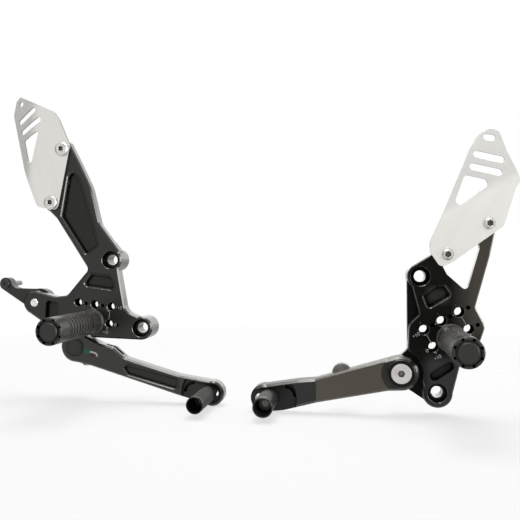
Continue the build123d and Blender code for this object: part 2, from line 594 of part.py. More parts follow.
def brake_lever():
    """Toe lever of the brake: a pocket, a notch in its top edge, a rim round the toe and a lobe for the rod's pin."""
    face = rounded(BRAKE_LEVER_OUTLINE) + disc(BRAKE_PIVOT, BRAKE_HUB_R) + disc(BRAKE_TOE_END, BRAKE_TOE_R)
    inside = disc(BRAKE_TOE_END, BRAKE_TOE_R - BRAKE_TOE_RIM)
    inside += Pos(BRAKE_TOE_END[0] - BRAKE_TOE_STEP_R, BRAKE_TOE_END[1]) * Rectangle(
        2 * BRAKE_TOE_STEP_R, 4 * BRAKE_TOE_STEP_R)
    near_toe = (toe_step(BRAKE_TOE, BRAKE_TOE_STEP_R, 1) & inside) - rounded(BRAKE_TOE_LIP)
    body = lever_body(face, BRAKE_LEVER_EDGE) - slab(near_toe, TOE_FACE, LEVER_FRONT + 1)
    body -= toe_groove(BRAKE_TOE_GROOVE, 1)
    body -= sunk(BRAKE_LEVER_POCKET, LEVER_FRONT, LEVER_POCKET_DEPTH)
    body -= slab(rounded(BRAKE_LEVER_NOTCH), *BRAKE_NOTCH_LEVELS)
    body -= rod(BRAKE_PIVOT, BUSH_R, LEVER_BACK - 1, LEVER_FRONT + 1)
    body -= rod(BRAKE_PIVOT, BRAKE_PIVOT_SINK_R, LEVER_FRONT - BRAKE_PIVOT_HEAD - HEAD_GAP, LEVER_FRONT + 1)
    body += rod(BRAKE_ROD, BRAKE_ROD_LOBE_R, LEVER_BACK, LEVER_BACK + BRAKE_ROD_THREAD)
    body -= rod(BRAKE_ROD, BRAKE_ROD_THREAD_R + SCREW_PLAY, LEVER_BACK - 1, LEVER_BACK + BRAKE_ROD_THREAD)
    return body - toe_slot(BRAKE_TOE, BRAKE_TOE_SLOT)


def bush(at, high):
    """Plain bush pressed into the lever."""
    return slab(disc(at, BUSH_R) - disc(at, BUSH_BORE_R), LEVER_BACK, high)


def brake_pivot_bolt():
    """Shoulder bolt that carries the brake lever."""
    head_low = LEVER_FRONT - BRAKE_PIVOT_HEAD
    shoulder = BUSH_BORE_R - RUNNING_PLAY
    end = FRAME_SEAT - PIVOT_NUT
    return turned([(0, end), (PIVOT_THREAD_R, end), (PIVOT_THREAD_R, LUG_FRONT), (shoulder, LUG_FRONT),
                   (shoulder, head_low), (BRAKE_PIVOT_HEAD_R, head_low), (BRAKE_PIVOT_HEAD_R, LEVER_FRONT),
                   (0, LEVER_FRONT)], BRAKE_PIVOT)


def pivot_nut(at, back):
    """Hexagon nut on a pivot bolt, behind the lug."""
    hexagon = Pos(at[0], at[1]) * RegularPolygon(PIVOT_NUT_R, 6)
    return slab(hexagon - disc(at, PIVOT_THREAD_R + SCREW_PLAY), back - PIVOT_NUT, back)


def brake_rod_pin():
    """Pin on the lever's back for the brake cylinder's rod."""
    end = LEVER_BACK - BRAKE_ROD_REACH
    top = LEVER_BACK + BRAKE_ROD_THREAD
    return turned([(0, end), (BRAKE_ROD_R - 0.8, end), (BRAKE_ROD_R, end + 0.8), (BRAKE_ROD_R, LEVER_BACK),
                   (BRAKE_ROD_THREAD_R, LEVER_BACK), (BRAKE_ROD_THREAD_R, top), (0, top)], BRAKE_ROD)


def rear_stay():
    """Arm with an eye, clamped behind the hanger's tail."""
    face = rounded(STAY_OUTLINE) + disc(STAY_EYE, STAY_EYE_R) + disc(BRAKE_TAIL, STAY_HUB_R)
    body = slab(face, -BRAKE_PLATE - STAY, -BRAKE_PLATE)
    body -= rod(BRAKE_TAIL, STAY_PIN_R, -BRAKE_PLATE - STAY - 1, 0)
    return body - rod(STAY_EYE, STAY_SCREW_R + SCREW_PLAY, -BRAKE_PLATE - STAY - 1, 0)


def stay_pin():
    """Bright pin through the tail and the stay, with a collar behind."""
    back = -BRAKE_PLATE - STAY
    return turned([(0, back - STAY_COLLAR), (STAY_COLLAR_R, back - STAY_COLLAR), (STAY_COLLAR_R, back),
                   (STAY_PIN_R, back), (STAY_PIN_R, STAY_PIN_PROUD - 0.3), (STAY_PIN_R - 0.3, STAY_PIN_PROUD),
                   (0, STAY_PIN_PROUD)], BRAKE_TAIL)


def stay_post():
    """Post behind the eye, with a flange on the stay."""
    back = -BRAKE_PLATE - STAY
    flange = back - STAY_POST_FLANGE
    end = back - STAY_POST_REACH
    bore = STAY_SCREW_R + SCREW_PLAY
    bottom = back - STAY_SCREW_REACH - 1
    return turned([(0, end), (STAY_POST_R - 0.5, end), (STAY_POST_R, end + 0.5), (STAY_POST_R, flange),
                   (STAY_POST_FLANGE_R, flange), (STAY_POST_FLANGE_R, back), (bore, back), (bore, bottom),
                   (0, bottom)], STAY_EYE)


def stay_screw():
    """Low head screw through the eye into the post."""
    front = -BRAKE_PLATE
    top = front + STAY_SCREW_HEAD
    end = front - STAY - STAY_SCREW_REACH
    screw = turned([(0, end), (STAY_SCREW_R, end), (STAY_SCREW_R, front), (STAY_SCREW_HEAD_R, front),
                    (STAY_SCREW_HEAD_R, top - 0.4), (STAY_SCREW_HEAD_R - 0.4, top), (0, top)], STAY_EYE)
    return screw - key(STAY_EYE, KEY_M4, top, KEY_M4_DEPTH)


def shift_hanger():
    """Base plate with the lever's lug, a raised face, an open upper frame and frame bosses."""
    lugs = disc((0, 0), FRAME_BOSS_R) + disc(SHIFT_FRAME_LOW, SHIFT_LOW_BOSS_R)
    for screw in SHIFT_SCREWS:
        lugs += disc(screw, SHIFT_SCREW_LUG_R)
    base = rounded(SHIFT_BASE_OUTLINE) + lugs + disc(SHIFT_PIVOT, SHIFT_LUG_R)
    face = rounded(SHIFT_FACE_OUTLINE) + lugs - disc(SHIFT_PIVOT, SHIFT_HUB_ROOM)
    raised = slab(face, LUG_FRONT, 0)
    left, low, high = SHIFT_FRAME_START
    thin = beyond(SHIFT_BASE_OUTLINE, left, low) + beyond(SHIFT_BASE_OUTLINE, SHIFT_PIVOT[0], high)
    body = slab(base, SHIFT_BACK, LUG_FRONT) - slab(thin, FRAME_SEAT, LUG_FRONT)
    body += chamfer(front_edges(raised, 0), SHIFT_HANGER_EDGE) - slab(thin, FRAME_SEAT, -SHIFT_FRAME)
    for boss, radius in (((0, 0), FRAME_BOSS_R), (SHIFT_FRAME_LOW, SHIFT_LOW_BOSS_R)):
        body += rod(boss, radius, FRAME_SEAT, SHIFT_BACK)
    body -= slab(rounded(SHIFT_WINDOW), FRAME_SEAT, 1)
    body -= sunk(SHIFT_POCKET, 0, POCKET_DEPTH)
    body -= slab(slot(SHIFT_SLOT, SHIFT_SLOT_WIDTH), -SHIFT_SLOT_DEPTH, 1)
    body -= frame_hole((0, 0)) + frame_hole(SHIFT_FRAME_LOW) + grid_holes(SHIFT_PEG, SHIFT_TILT, SHIFT_GRID_HOLE_R)
    body -= rod(SHIFT_PIVOT, PIVOT_THREAD_R + SCREW_PLAY, FRAME_SEAT - 1, 0)
    for screw in SHIFT_SCREWS:
        body -= rod(screw, GUARD_SCREW_R + SCREW_PLAY, FRAME_SEAT, 1)
    return body


def shift_lever():
    """Toe lever of the gear shift: a lip above the toe, and a middle milled lower than the hub and the toe."""
    face = rounded(SHIFT_LEVER_OUTLINE) + disc(SHIFT_PIVOT, SHIFT_HUB_R) + disc(SHIFT_TOE_END, SHIFT_TOE_R)
    near_toe = toe_step(SHIFT_TOE, SHIFT_TOE_STEP_R, -1) - rounded(SHIFT_TOE_LIP)
    body = lever_body(face, SHIFT_LEVER_EDGE) - slab(near_toe, TOE_FACE, LEVER_FRONT + 1)
    body -= toe_groove(SHIFT_TOE_GROOVE, -1)
    length = SHIFT_PIVOT[0] - SHIFT_CREASE
    middle = Pos(SHIFT_CREASE + length / 2, SHIFT_PIVOT[1]) * Rectangle(length, length)
    body -= slab(middle - disc(SHIFT_PIVOT, SHIFT_HUB_STEP_R), LEVER_FRONT - SHIFT_MIDDLE_DROP, LEVER_FRONT + 1)
    body -= rod(SHIFT_PIVOT, BUSH_R, LEVER_BACK - 1, LEVER_FRONT + 1)
    body -= rod(SHIFT_PIVOT, SHIFT_RING_R + HEAD_GAP, LEVER_FRONT - SHIFT_RING_DEPTH - HEAD_GAP, LEVER_FRONT + 1)
    body -= rod(SHIFT_ROD, SHIFT_STUD_SEAT_R + SCREW_PLAY, LEVER_BACK - 1, LEVER_BACK + SHIFT_STUD_DEPTH)
    return body - toe_slot(SHIFT_TOE, -SHIFT_TOE_SLOT)


def shift_pivot_ring():
    """Dark cup ring that seats the countersunk head, held still on the bolt's shoulder."""
    low = LEVER_FRONT - SHIFT_RING_DEPTH
    top = LEVER_FRONT + SHIFT_RING_LIP
    return turned([(SHIFT_CONE_TIP_R, low), (SHIFT_RING_R, low), (SHIFT_RING_R, top - 0.6),
                   (SHIFT_RING_R - 0.6, top), (SHIFT_CONE_HEAD_R, top), (SHIFT_CONE_TIP_R, low + top - LEVER_FRONT)],
                  SHIFT_PIVOT)


def shift_pivot_sleeve():
    """Sleeve on the bolt that the lever's bush turns on."""
    shoulder = BUSH_BORE_R - RUNNING_PLAY
    return slab(disc(SHIFT_PIVOT, shoulder) - disc(SHIFT_PIVOT, PIVOT_THREAD_R), LUG_FRONT,
                LEVER_FRONT - SHIFT_RING_DEPTH)


def shift_pivot_bolt():
    """Bright countersunk bolt of the shift lever."""
    top = LEVER_FRONT + SHIFT_RING_LIP
    cone_low = LEVER_FRONT - SHIFT_RING_DEPTH + SHIFT_RING_LIP
    end = SHIFT_BACK - PIVOT_NUT
    bolt = turned([(0, end), (PIVOT_THREAD_R, end), (PIVOT_THREAD_R, cone_low), (SHIFT_CONE_HEAD_R, top), (0, top)],
                  SHIFT_PIVOT)
    return bolt - key(SHIFT_PIVOT, KEY_M8, top, KEY_DEPTH)


def shift_rod_boss():
    """Round boss on the lever's back for the shift rod."""
    low = LEVER_BACK - SHIFT_ROD_BOSS
    return turned([(SHIFT_STUD_SEAT_R, low), (SHIFT_ROD_R - 0.8, low), (SHIFT_ROD_R, low + 0.8),
                   (SHIFT_ROD_R, LEVER_BACK), (SHIFT_STUD_SEAT_R, LEVER_BACK)], SHIFT_ROD)


def shift_rod_stud():
    """Stud through the boss, free behind it for the shift rod's eye."""
    shoulder = LEVER_BACK - SHIFT_ROD_BOSS
    end = shoulder - SHIFT_STUD_REACH
    top = LEVER_BACK + SHIFT_STUD_DEPTH
    return turned([(0, end), (SHIFT_STUD_R - 0.5, end), (SHIFT_STUD_R, end + 0.5), (SHIFT_STUD_R, shoulder),
                   (SHIFT_STUD_SEAT_R, shoulder), (SHIFT_STUD_SEAT_R, top), (0, top)], SHIFT_ROD)


def brake_guard():
    """Heel guard of the brake side."""
    cuts = [disc(BRAKE_GUARD_HOLE, BRAKE_GUARD_HOLE_R), rounded(BRAKE_GUARD_WINDOW)]
    cuts += [slot(ends, BRAKE_SLOT_WIDTH) for ends in BRAKE_GUARD_SLOTS]
    return folded_guard(BRAKE_GUARD_OUTLINE, BRAKE_FOLD, cuts, BRAKE_SCREWS)


def shift_guard():
    """Heel guard of the shift side."""
    cuts = [slot(SHIFT_GUARD_HOLE, SHIFT_HOLE_WIDTH), rounded(SHIFT_GUARD_WINDOW)]
    cuts += [slot(ends, SHIFT_SLOT_OPENING) for ends in SHIFT_GUARD_SLOTS]
    return folded_guard(SHIFT_GUARD_OUTLINE, SHIFT_FOLD, cuts, SHIFT_SCREWS)


def brake_side():
    """Named pieces of the brake side."""
    screws = [button_screw(at, -BRAKE_ARM, SHEET, BRAKE_SCREW_HEAD_R, BRAKE_SCREW_HEAD) for at in BRAKE_SCREWS]
    cap_top = LEVER_FRONT + BRAKE_CAP
    return {
        "brake_hanger": brake_hanger(),
        "brake_heel_guard": brake_guard(),
        "brake_guard_screws": Compound(children=screws),
        "brake_foot_peg": foot_peg(BRAKE_PEG, BRAKE_TILT),
        "brake_peg_cap": peg_cap(BRAKE_PEG),
        "brake_peg_bolt": peg_bolt(BRAKE_PEG, -BRAKE_PLATE),
        "brake_peg_dowel": peg_dowel(BRAKE_PEG, BRAKE_TILT),
        "brake_lever": brake_lever(),
        "brake_pivot_bush": bush(BRAKE_PIVOT, LEVER_FRONT - BRAKE_PIVOT_HEAD - HEAD_GAP),
        "brake_pivot_bolt": brake_pivot_bolt(),
        "brake_pivot_cap": rod(BRAKE_PIVOT, BRAKE_CAP_R, LEVER_FRONT, cap_top),
        "brake_pivot_nut": pivot_nut(BRAKE_PIVOT, FRAME_SEAT),
        "brake_rod_pin": brake_rod_pin(),
        "brake_toe_peg": toe_peg(BRAKE_TOE, BRAKE_TUBE_R, BRAKE_TUBE, BRAKE_TUBE_FOOT),
        "brake_toe_bolt": toe_bolt(BRAKE_TOE, BRAKE_TUBE_FOOT),
        "brake_toe_nut": toe_nut(BRAKE_TOE),
        "rear_stay": rear_stay(),
        "stay_pin": stay_pin(),
        "stay_post": stay_post(),
        "stay_screw": stay_screw(),
    }


def shift_side():
    """Named pieces of the shift side."""
    seat = SHEET + SHIFT_WASHER
    screws = [button_screw(at, LUG_FRONT, seat, SHIFT_SCREW_HEAD_R, SHIFT_SCREW_HEAD) for at in SHIFT_SCREWS]
    washers = [slab(disc(at, SHIFT_WASHER_R) - disc(at, GUARD_HOLE_R), SHEET, seat) for at in SHIFT_SCREWS]
    return {
        "shift_hanger": shift_hanger(),
        "shift_heel_guard": shift_guard(),
        "shift_guard_screws": Compound(children=screws),
        "shift_guard_washers": Compound(children=washers),
        "shift_foot_peg": foot_peg(SHIFT_PEG, SHIFT_TILT),
        "shift_peg_cap": peg_cap(SHIFT_PEG),
        "shift_peg_bolt": peg_bolt(SHIFT_PEG, SHIFT_BACK),
        "shift_peg_dowel": peg_dowel(SHIFT_PEG, SHIFT_TILT),
        "shift_lever": shift_lever(),
        "shift_pivot_bush": bush(SHIFT_PIVOT, LEVER_FRONT - SHIFT_RING_DEPTH - HEAD_GAP),
        "shift_pivot_sleeve": shift_pivot_sleeve(),
        "shift_pivot_ring": shift_pivot_ring(),
        "shift_pivot_bolt": shift_pivot_bolt(),
        "shift_pivot_nut": pivot_nut(SHIFT_PIVOT, SHIFT_BACK),
        "shift_rod_boss": shift_rod_boss(),
        "shift_rod_stud": shift_rod_stud(),
        "shift_toe_peg": toe_peg(SHIFT_TOE, SHIFT_TUBE_R, SHIFT_TUBE, SHIFT_TUBE_FOOT),
        "shift_toe_bolt": toe_bolt(SHIFT_TOE, SHIFT_TUBE_FOOT),
        "shift_toe_nut": toe_nut(SHIFT_TOE),
    }


def save(pieces, place):
    """Write each piece, moved to where its side stands."""
    for name, piece in pieces.items():
        export_step(piece.moved(place), f"parts/{name}.step")


save(brake_side(), Location((0, FRAME_SEAT, 0)))
save(shift_side(), Location((SHIFT_APART, FRAME_SEAT - SHIFT_AHEAD, -SHIFT_BELOW)))
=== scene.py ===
"""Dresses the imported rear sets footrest: knurled pegs, marks, finishes, floor, light and camera.

Sizes of pieces are in millimetres and are turned into the frame's metres where a mesh is made. Each side has
its own front view, as the part does: U runs to the right, W runs up, and a level is a height in front of the
hanger's face, towards the viewer.
"""
from __future__ import annotations

import logging
import math
from dataclasses import dataclass, replace
from enum import Enum
from typing import ClassVar

import bpy
import numpy as np
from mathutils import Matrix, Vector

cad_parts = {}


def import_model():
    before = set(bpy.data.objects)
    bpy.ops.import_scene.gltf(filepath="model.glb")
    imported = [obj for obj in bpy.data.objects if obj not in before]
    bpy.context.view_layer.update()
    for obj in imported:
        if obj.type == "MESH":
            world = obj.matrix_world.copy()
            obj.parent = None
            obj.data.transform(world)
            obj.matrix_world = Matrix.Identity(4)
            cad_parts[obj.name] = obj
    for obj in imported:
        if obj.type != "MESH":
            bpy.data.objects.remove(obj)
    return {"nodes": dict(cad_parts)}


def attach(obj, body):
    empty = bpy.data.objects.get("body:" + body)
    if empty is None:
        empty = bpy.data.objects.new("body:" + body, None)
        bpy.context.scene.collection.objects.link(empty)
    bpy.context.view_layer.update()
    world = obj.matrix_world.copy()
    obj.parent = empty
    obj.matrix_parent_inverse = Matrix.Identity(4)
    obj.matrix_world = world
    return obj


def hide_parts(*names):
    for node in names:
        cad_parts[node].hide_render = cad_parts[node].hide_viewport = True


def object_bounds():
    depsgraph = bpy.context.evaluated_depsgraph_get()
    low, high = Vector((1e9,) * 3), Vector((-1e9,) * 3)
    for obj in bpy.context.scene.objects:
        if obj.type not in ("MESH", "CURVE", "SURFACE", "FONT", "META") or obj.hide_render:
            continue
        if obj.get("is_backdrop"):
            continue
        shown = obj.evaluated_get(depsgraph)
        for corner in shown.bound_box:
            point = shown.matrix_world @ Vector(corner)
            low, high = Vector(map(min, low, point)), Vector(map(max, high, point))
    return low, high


LOG = logging.getLogger("rear_sets")

MM = 0.001
FULL_TURN = 2 * math.pi

Triple = tuple[float, float, float]
Point = tuple[float, float]
Array = np.ndarray
Grids = tuple[np.ndarray, np.ndarray, np.ndarray]
Piece = bpy.types.Object
Socket = bpy.types.NodeSocket
Inputs = dict[str | int, object]


class Body(str, Enum):
    """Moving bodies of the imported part."""

    HANGERS = "hangers"
    BRAKE_LEVER = "brake_lever"
    SHIFT_LEVER = "shift_lever"


@dataclass(frozen=True)
class Side:
    """Front view of one side of the set.

    Args:
        right: where the front view's origin is along X, in millimetres.
        ahead: how far the hanger's face is in front of the frame's origin.
        up: where the front view's origin is along Z.
    """

    right: float
    ahead: float
    up: float

    def place(self, front: Array) -> Array:
        """Turns points of the front view into the row frame.

        Args:
            front: array whose last axis holds (u, w, level) in millimetres.

        Returns:
            Array of the same shape with x, y, z in metres.
        """
        u, w, level = np.moveaxis(front, -1, 0)
        return np.stack([u + self.right, -level - self.ahead, w + self.up], axis=-1) * MM


BRAKE_SIDE = Side(right=0.0, ahead=20.0, up=0.0)
SHIFT_SIDE = Side(right=259.5, ahead=37.0, up=-12.7)

WHITE = (1.0, 1.0, 1.0)
# Black: the colour that painted shade falls to, and the base colour of the cards.
NIGHT = (0.0, 0.0, 0.0)

# Y of a face's direction: below the first it looks straight to the front, above the second to the back.
FRONT_LEAN = -0.97
BACK_LEAN = 0.5


def rgba(colour: Triple, gain: float = 1.0) -> tuple[float, float, float, float]:
    """Colour with full cover, made brighter or darker by a gain and kept at 1 or less."""
    return (*(min(1.0, gain * share) for share in colour), 1.0)


class Nodes:
    """Node tree with short calls for the nodes that come again and again."""

    def __init__(self, tree: bpy.types.NodeTree) -> None:
        """Starts with an empty tree."""
        self.tree = tree
        tree.nodes.clear()

    def fill(self, node: bpy.types.Node, inputs: Inputs) -> None:
        """Puts a constant on each of some inputs of a node, or joins another node's socket to it."""
        for key, value in inputs.items():
            if isinstance(value, Socket):
                self.tree.links.new(value, node.inputs[key])
            else:
                node.inputs[key].default_value = value

    def add(self, kind: str, inputs: Inputs, **settings: object) -> bpy.types.NodeOutputs:
        """Adds a node, sets its properties, fills its inputs and gives its outputs."""
        node = self.tree.nodes.new(kind)
        for key, value in settings.items():
            setattr(node, key, value)
        self.fill(node, inputs)
        return node.outputs

    def spread(self, value: Socket, low: float, high: float, start: float = 0.3, end: float = 0.7) -> Socket:
        """Maps the part of a value between start and end on to low and high."""
        span = {"Value": value, "From Min": start, "From Max": end, "To Min": low, "To Max": high}
        return self.add("ShaderNodeMapRange", span)["Result"]

    def math(self, operation: str, first: object, second: object = 0.0) -> Socket:
        """One arithmetic node."""
        return self.add("ShaderNodeMath", {0: first, 1: second}, operation=operation)["Value"]

    def times(self, first: object, second: object) -> Socket:
        """Product of two values."""
        return self.math("MULTIPLY", first, second)


class Graph(Nodes):
    """Node tree of one material, with short calls for the nodes that the finishes share."""

    def __init__(self, name: str) -> None:
        """Starts a material with a Principled shader on its output."""
        self.material = bpy.data.materials.new(name)
        self.material.use_nodes = True
        super().__init__(self.material.node_tree)
        self.shader = self.tree.nodes.new("ShaderNodeBsdfPrincipled")
        self.add("ShaderNodeOutputMaterial", {"Surface": self.shader.outputs["BSDF"]})
        self.place = self.add("ShaderNodeTexCoord", {})["Object"]

    def stretched(self, scale: Triple, turn: float = 0.0) -> Socket:
        """Object coordinates turned about Y by some degrees, and then scaled along X, Y and Z."""
        rotation = (0.0, math.radians(turn), 0.0)
        turned = self.add("ShaderNodeMapping", {"Vector": self.place, "Rotation": rotation})["Vector"]
        return self.add("ShaderNodeMapping", {"Vector": turned, "Scale": scale})["Vector"]

    def noise(self, where: Socket, scale: float, detail: float = 3.0) -> Socket:
        """Noise between 0 and 1 on a vector."""
        return self.add("ShaderNodeTexNoise", {"Vector": where, "Scale": scale, "Detail": detail})["Fac"]

    def axis(self, vector: Socket, name: str) -> Socket:
        """One coordinate of a vector."""
        return self.add("ShaderNodeSeparateXYZ", {"Vector": vector})[name]

    def blend(self, share: object, first: object, second: object) -> Socket:
        """Colour between two others."""
        return self.add("ShaderNodeMix", {"Factor": share, 6: first, 7: second}, data_type="RGBA")[2]

    def edge(self, radius: float) -> tuple[Socket, Socket]:
        """Softened normal, and how far it leans from the true one near an edge.

        Args:
            radius: radius of the softened edge in millimetres.

        Returns:
            Normal socket, and a value socket that is 0 on flats and rises towards edges.
        """
        soft = self.add("ShaderNodeBevel", {"Radius": radius * MM}, samples=4)["Normal"]
        true = self.add("ShaderNodeNewGeometry", {})["Normal"]
        dot = self.add("ShaderNodeVectorMath", {0: soft, 1: true}, operation="DOT_PRODUCT")["Value"]
        return soft, self.spread(dot, low=1.0, high=0.0, start=0.86, end=0.999)

    def painted_occlusion(self, reach: float, dark: float, start: float = 0.14, end: float = 0.52) -> Socket:
        """Painted shade: 1 on open faces, falling to a dark value in bores, sockets and tight corners.

        Args:
            reach: distance in millimetres over which the piece's own walls count.
            dark: factor where walls are all round.
            start: open share of the sky at which the factor is darkest.
            end: open share of the sky from which the factor is 1.

        Returns:
            Value socket.
        """
        kind = "ShaderNodeAmbientOcclusion"
        sky = self.add(kind, {"Distance": reach * MM}, samples=6, only_local=True)["AO"]
        return self.spread(sky, dark, 1.0, start, end)

    def lean(self) -> Socket:
        """Y of the face's own direction: -1 to the front, 0 on walls and edges, 1 to the back."""
        return self.axis(self.add("ShaderNodeNewGeometry", {})["True Normal"], "Y")

    def facing(self) -> Socket:
        """Factor that is 1 on faces that look straight to the front."""
        return self.math("LESS_THAN", self.lean(), FRONT_LEAN)

    def window(self, value: Socket, low: float, high: float, soft: float) -> Socket:
        """Factor that is 1 between two limits in millimetres and fades out past them."""
        rise = self.spread(value, 0.0, 1.0, (low - soft) * MM, (low + soft) * MM)
        fall = self.spread(value, 1.0, 0.0, (high - soft) * MM, (high + soft) * MM)
        return self.times(rise, fall)

    def bump(self, height: Socket, depth: float, normal: Socket) -> Socket:
        """Normal roughened by a height between 0 and 1, whose relief is some millimetres deep."""
        relief = {"Strength": 1.0, "Distance": depth * MM, "Height": height, "Normal": normal}
        return self.add("ShaderNodeBump", relief)["Normal"]

    def surface(self, colour: Socket, rough: Socket, metallic: float, specular: object,
                normal: Socket) -> bpy.types.Material:
        """Sets the shader's main sockets and gives the finished material."""
        self.fill(self.shader, {"Base Color": colour, "Roughness": rough, "Metallic": metallic,
                                "Specular IOR Level": specular, "Normal": normal})
        return self.material


@dataclass(frozen=True)
class Zone:
    """Part of a piece's front and walls painted another colour, as painted sheen and light, and made duller.

    Args:
        dye: colour painted on flats there.
        low: lowest X and Z of the zone in the row frame, in millimetres.
        high: highest X and Z.
        soft: width over which the zone fades in and out.
        hub: X, Z and radius of a round that stays out of the zone.
        duller: how much rougher the surface is there.
    """

    dye: Triple
    low: Point
    high: Point
    soft: float
    hub: Triple = (0.0, 0.0, 0.0)
    duller: float = 0.0

    def share(self, graph: Graph) -> Socket:
        """Factor that is 1 inside the zone, apart from faces that look to the back."""
        inside = graph.math("LESS_THAN", graph.lean(), BACK_LEAN)
        squares = []
        for name, low, high, middle in zip("XZ", self.low, self.high, self.hub):
            place = graph.axis(graph.place, name)
            inside = graph.times(inside, graph.window(place, low, high, self.soft))
            aside = graph.math("SUBTRACT", place, middle * MM)
            squares.append(graph.times(aside, aside))
        distance = graph.math("SQRT", graph.math("ADD", *squares))
        return graph.times(inside, graph.math("GREATER_THAN", distance, self.hub[2] * MM))


@dataclass(frozen=True)
class Anodised:
    """Milled dyed aluminium, blasted to a fine satin, worn paler at edges, with painted shade in hollows.

    Args:
        name: name of the material.
        dye: colour of flats.
        worn: colour of edges.
        specular: strength of the reflection seen straight on.
        roughness: middle of the roughness range.
        grain: depth of the blasted grain in millimetres.
        edge_radius: radius of the softened edges in millimetres.
        metallic: share of the metal's own reflection.
        zones: parts painted another colour, as painted sheen and light, with a duller surface.
        face: Y of the front face in millimetres, behind which the floors of pockets get painted shade.
        flat_gloss: share of the reflection that faces to the front keep, a painted dimming of their
            reflection.
        keen_walls: how much smoother walls and edges are than faces to the front.
        groove_reach: distance in millimetres over which narrow grooves get painted shade, or 0 for none.
        gloss_tint: colour of the reflection, faintly warm as on blasted black parts.
    """

    name: str
    dye: Triple
    worn: Triple
    specular: float = 0.3
    roughness: float = 0.36
    grain: float = 0.010
    edge_radius: float = 0.3
    metallic: float = 0.0
    zones: tuple[Zone, ...] = ()
    face: float | None = None
    flat_gloss: float = 1.0
    keen_walls: float = 0.0
    groove_reach: float = 0.0
    gloss_tint: Triple = (1.0, 0.985, 0.93)

    def painted_shade(self, graph: Graph) -> Socket:
        """Painted shade: 1 on open faces and dark in bores, on the floors of pockets and in grooves."""
        shallow, deep, floor_share = 1.2, 6.5, 0.72
        light = graph.painted_occlusion(reach=9.0, dark=0.06)
        if self.face is not None:
            # Pocket floors behind the front face get painted shade, deepest near their walls.
            depth = graph.axis(graph.place, "Y")
            sunken = graph.window(depth, self.face + shallow, self.face + deep, soft=0.05)
            floors = graph.times(sunken, graph.facing())
            corners = graph.painted_occlusion(reach=3.0, dark=0.12, start=0.55, end=0.9)
            floor_light = graph.times(corners, floor_share)
            painted_floor_shade = graph.times(floors, graph.math("SUBTRACT", 1.0, floor_light))
            light = graph.times(light, graph.math("SUBTRACT", 1.0, painted_floor_shade))
        if self.groove_reach > 0.0:
            light = graph.times(light, graph.painted_occlusion(self.groove_reach, dark=0.1, start=0.4, end=0.85))
        return light

    def build(self) -> bpy.types.Material:
        """Makes the material."""
        cloud_gain, cloud_rough, fine_rough = 1.28, 0.04, 0.03
        graph = Graph(self.name)
        graph.fill(graph.shader, {"Specular Tint": rgba(self.gloss_tint)})
        normal, edge = graph.edge(self.edge_radius)
        cloud = graph.noise(graph.place, scale=38.0)
        pores = graph.noise(graph.place, scale=700.0)
        fine = graph.noise(graph.place, scale=2600.0, detail=2.0)
        facing = graph.facing()
        colour = graph.blend(graph.spread(cloud, 0.0, 1.0), rgba(self.dye), rgba(self.dye, cloud_gain))
        rough = graph.math("ADD", graph.spread(fine, -fine_rough, fine_rough),
                           graph.spread(cloud, self.roughness - cloud_rough, self.roughness + cloud_rough))
        for zone in self.zones:
            share = zone.share(graph)
            colour = graph.blend(share, colour, rgba(zone.dye))
            rough = graph.math("ADD", rough, graph.times(graph.times(share, facing), zone.duller))
        # Paler worn edges; where the worn colour is very pale, as on the pegs, it also paints highlight
        # lines.
        wear = graph.times(edge, graph.spread(pores, low=0.15, high=0.75))
        colour = graph.blend(wear, colour, rgba(self.worn))
        # Painted shade: colour falls to black in bores, on pocket floors and in grooves; the reflection is
        # dimmed by the same factor.
        light = self.painted_shade(graph)
        colour = graph.blend(light, rgba(NIGHT), colour)
        rough = graph.math("SUBTRACT", rough, graph.spread(facing, self.keen_walls, 0.0, 0.0, 1.0))
        flats = graph.spread(facing, self.specular, self.specular * self.flat_gloss, 0.0, 1.0)
        gloss = graph.times(light, flats)
        return graph.surface(colour, rough, self.metallic, gloss, graph.bump(fine, self.grain, normal))


@dataclass(frozen=True)
class BrushedSheet:
    """Bare sheet aluminium with a fine brushed grain along one direction.

    Args:
        name: name of the material.
        metal: colour of the metal.
        shade: colour in the grain's furrows.
        turn: angle of the grain about Y in degrees.
        roughness: middle of the roughness range.
        cut: colour painted on the sheet's cut edges, a painted shade along its thickness.
    """

    name: str
    metal: Triple
    shade: Triple
    turn: float
    roughness: float = 0.38
    cut: Triple = (0.30, 0.295, 0.285)

    def build(self) -> bpy.types.Material:
        """Makes the material."""
        edge_gain, cloud_rough, streak_rough = 1.12, 0.04, 0.05
        streak_share, band_share, cut_lean = 0.6, 0.4, 0.6
        graph = Graph(self.name)
        normal, edge = graph.edge(radius=0.3)
        streaks = graph.noise(graph.stretched((2600.0, 2600.0, 70.0), self.turn), scale=1.0, detail=4.0)
        bands = graph.noise(graph.stretched((130.0, 130.0, 9.0), self.turn), scale=1.0, detail=2.0)
        cloud = graph.noise(graph.place, scale=24.0)
        grain = graph.math("ADD", graph.times(streaks, streak_share), graph.times(bands, band_share))
        colour = graph.blend(graph.spread(grain, 0.0, 1.0), rgba(self.shade), rgba(self.metal))
        colour = graph.blend(edge, colour, rgba(self.metal, edge_gain))
        # Painted shade: walls of the sheet, its cut edges, take the darker cut colour.
        cut_edge_shade = graph.math("LESS_THAN", graph.math("ABSOLUTE", graph.lean()), cut_lean)
        colour = graph.blend(cut_edge_shade, colour, rgba(self.cut))
        rough = graph.math("ADD", graph.spread(streaks, -streak_rough, streak_rough),
                           graph.spread(cloud, self.roughness - cloud_rough, self.roughness + cloud_rough))
        normal = graph.bump(streaks, depth=0.008, normal=normal)
        return graph.surface(colour, rough, metallic=1.0, specular=0.5, normal=normal)


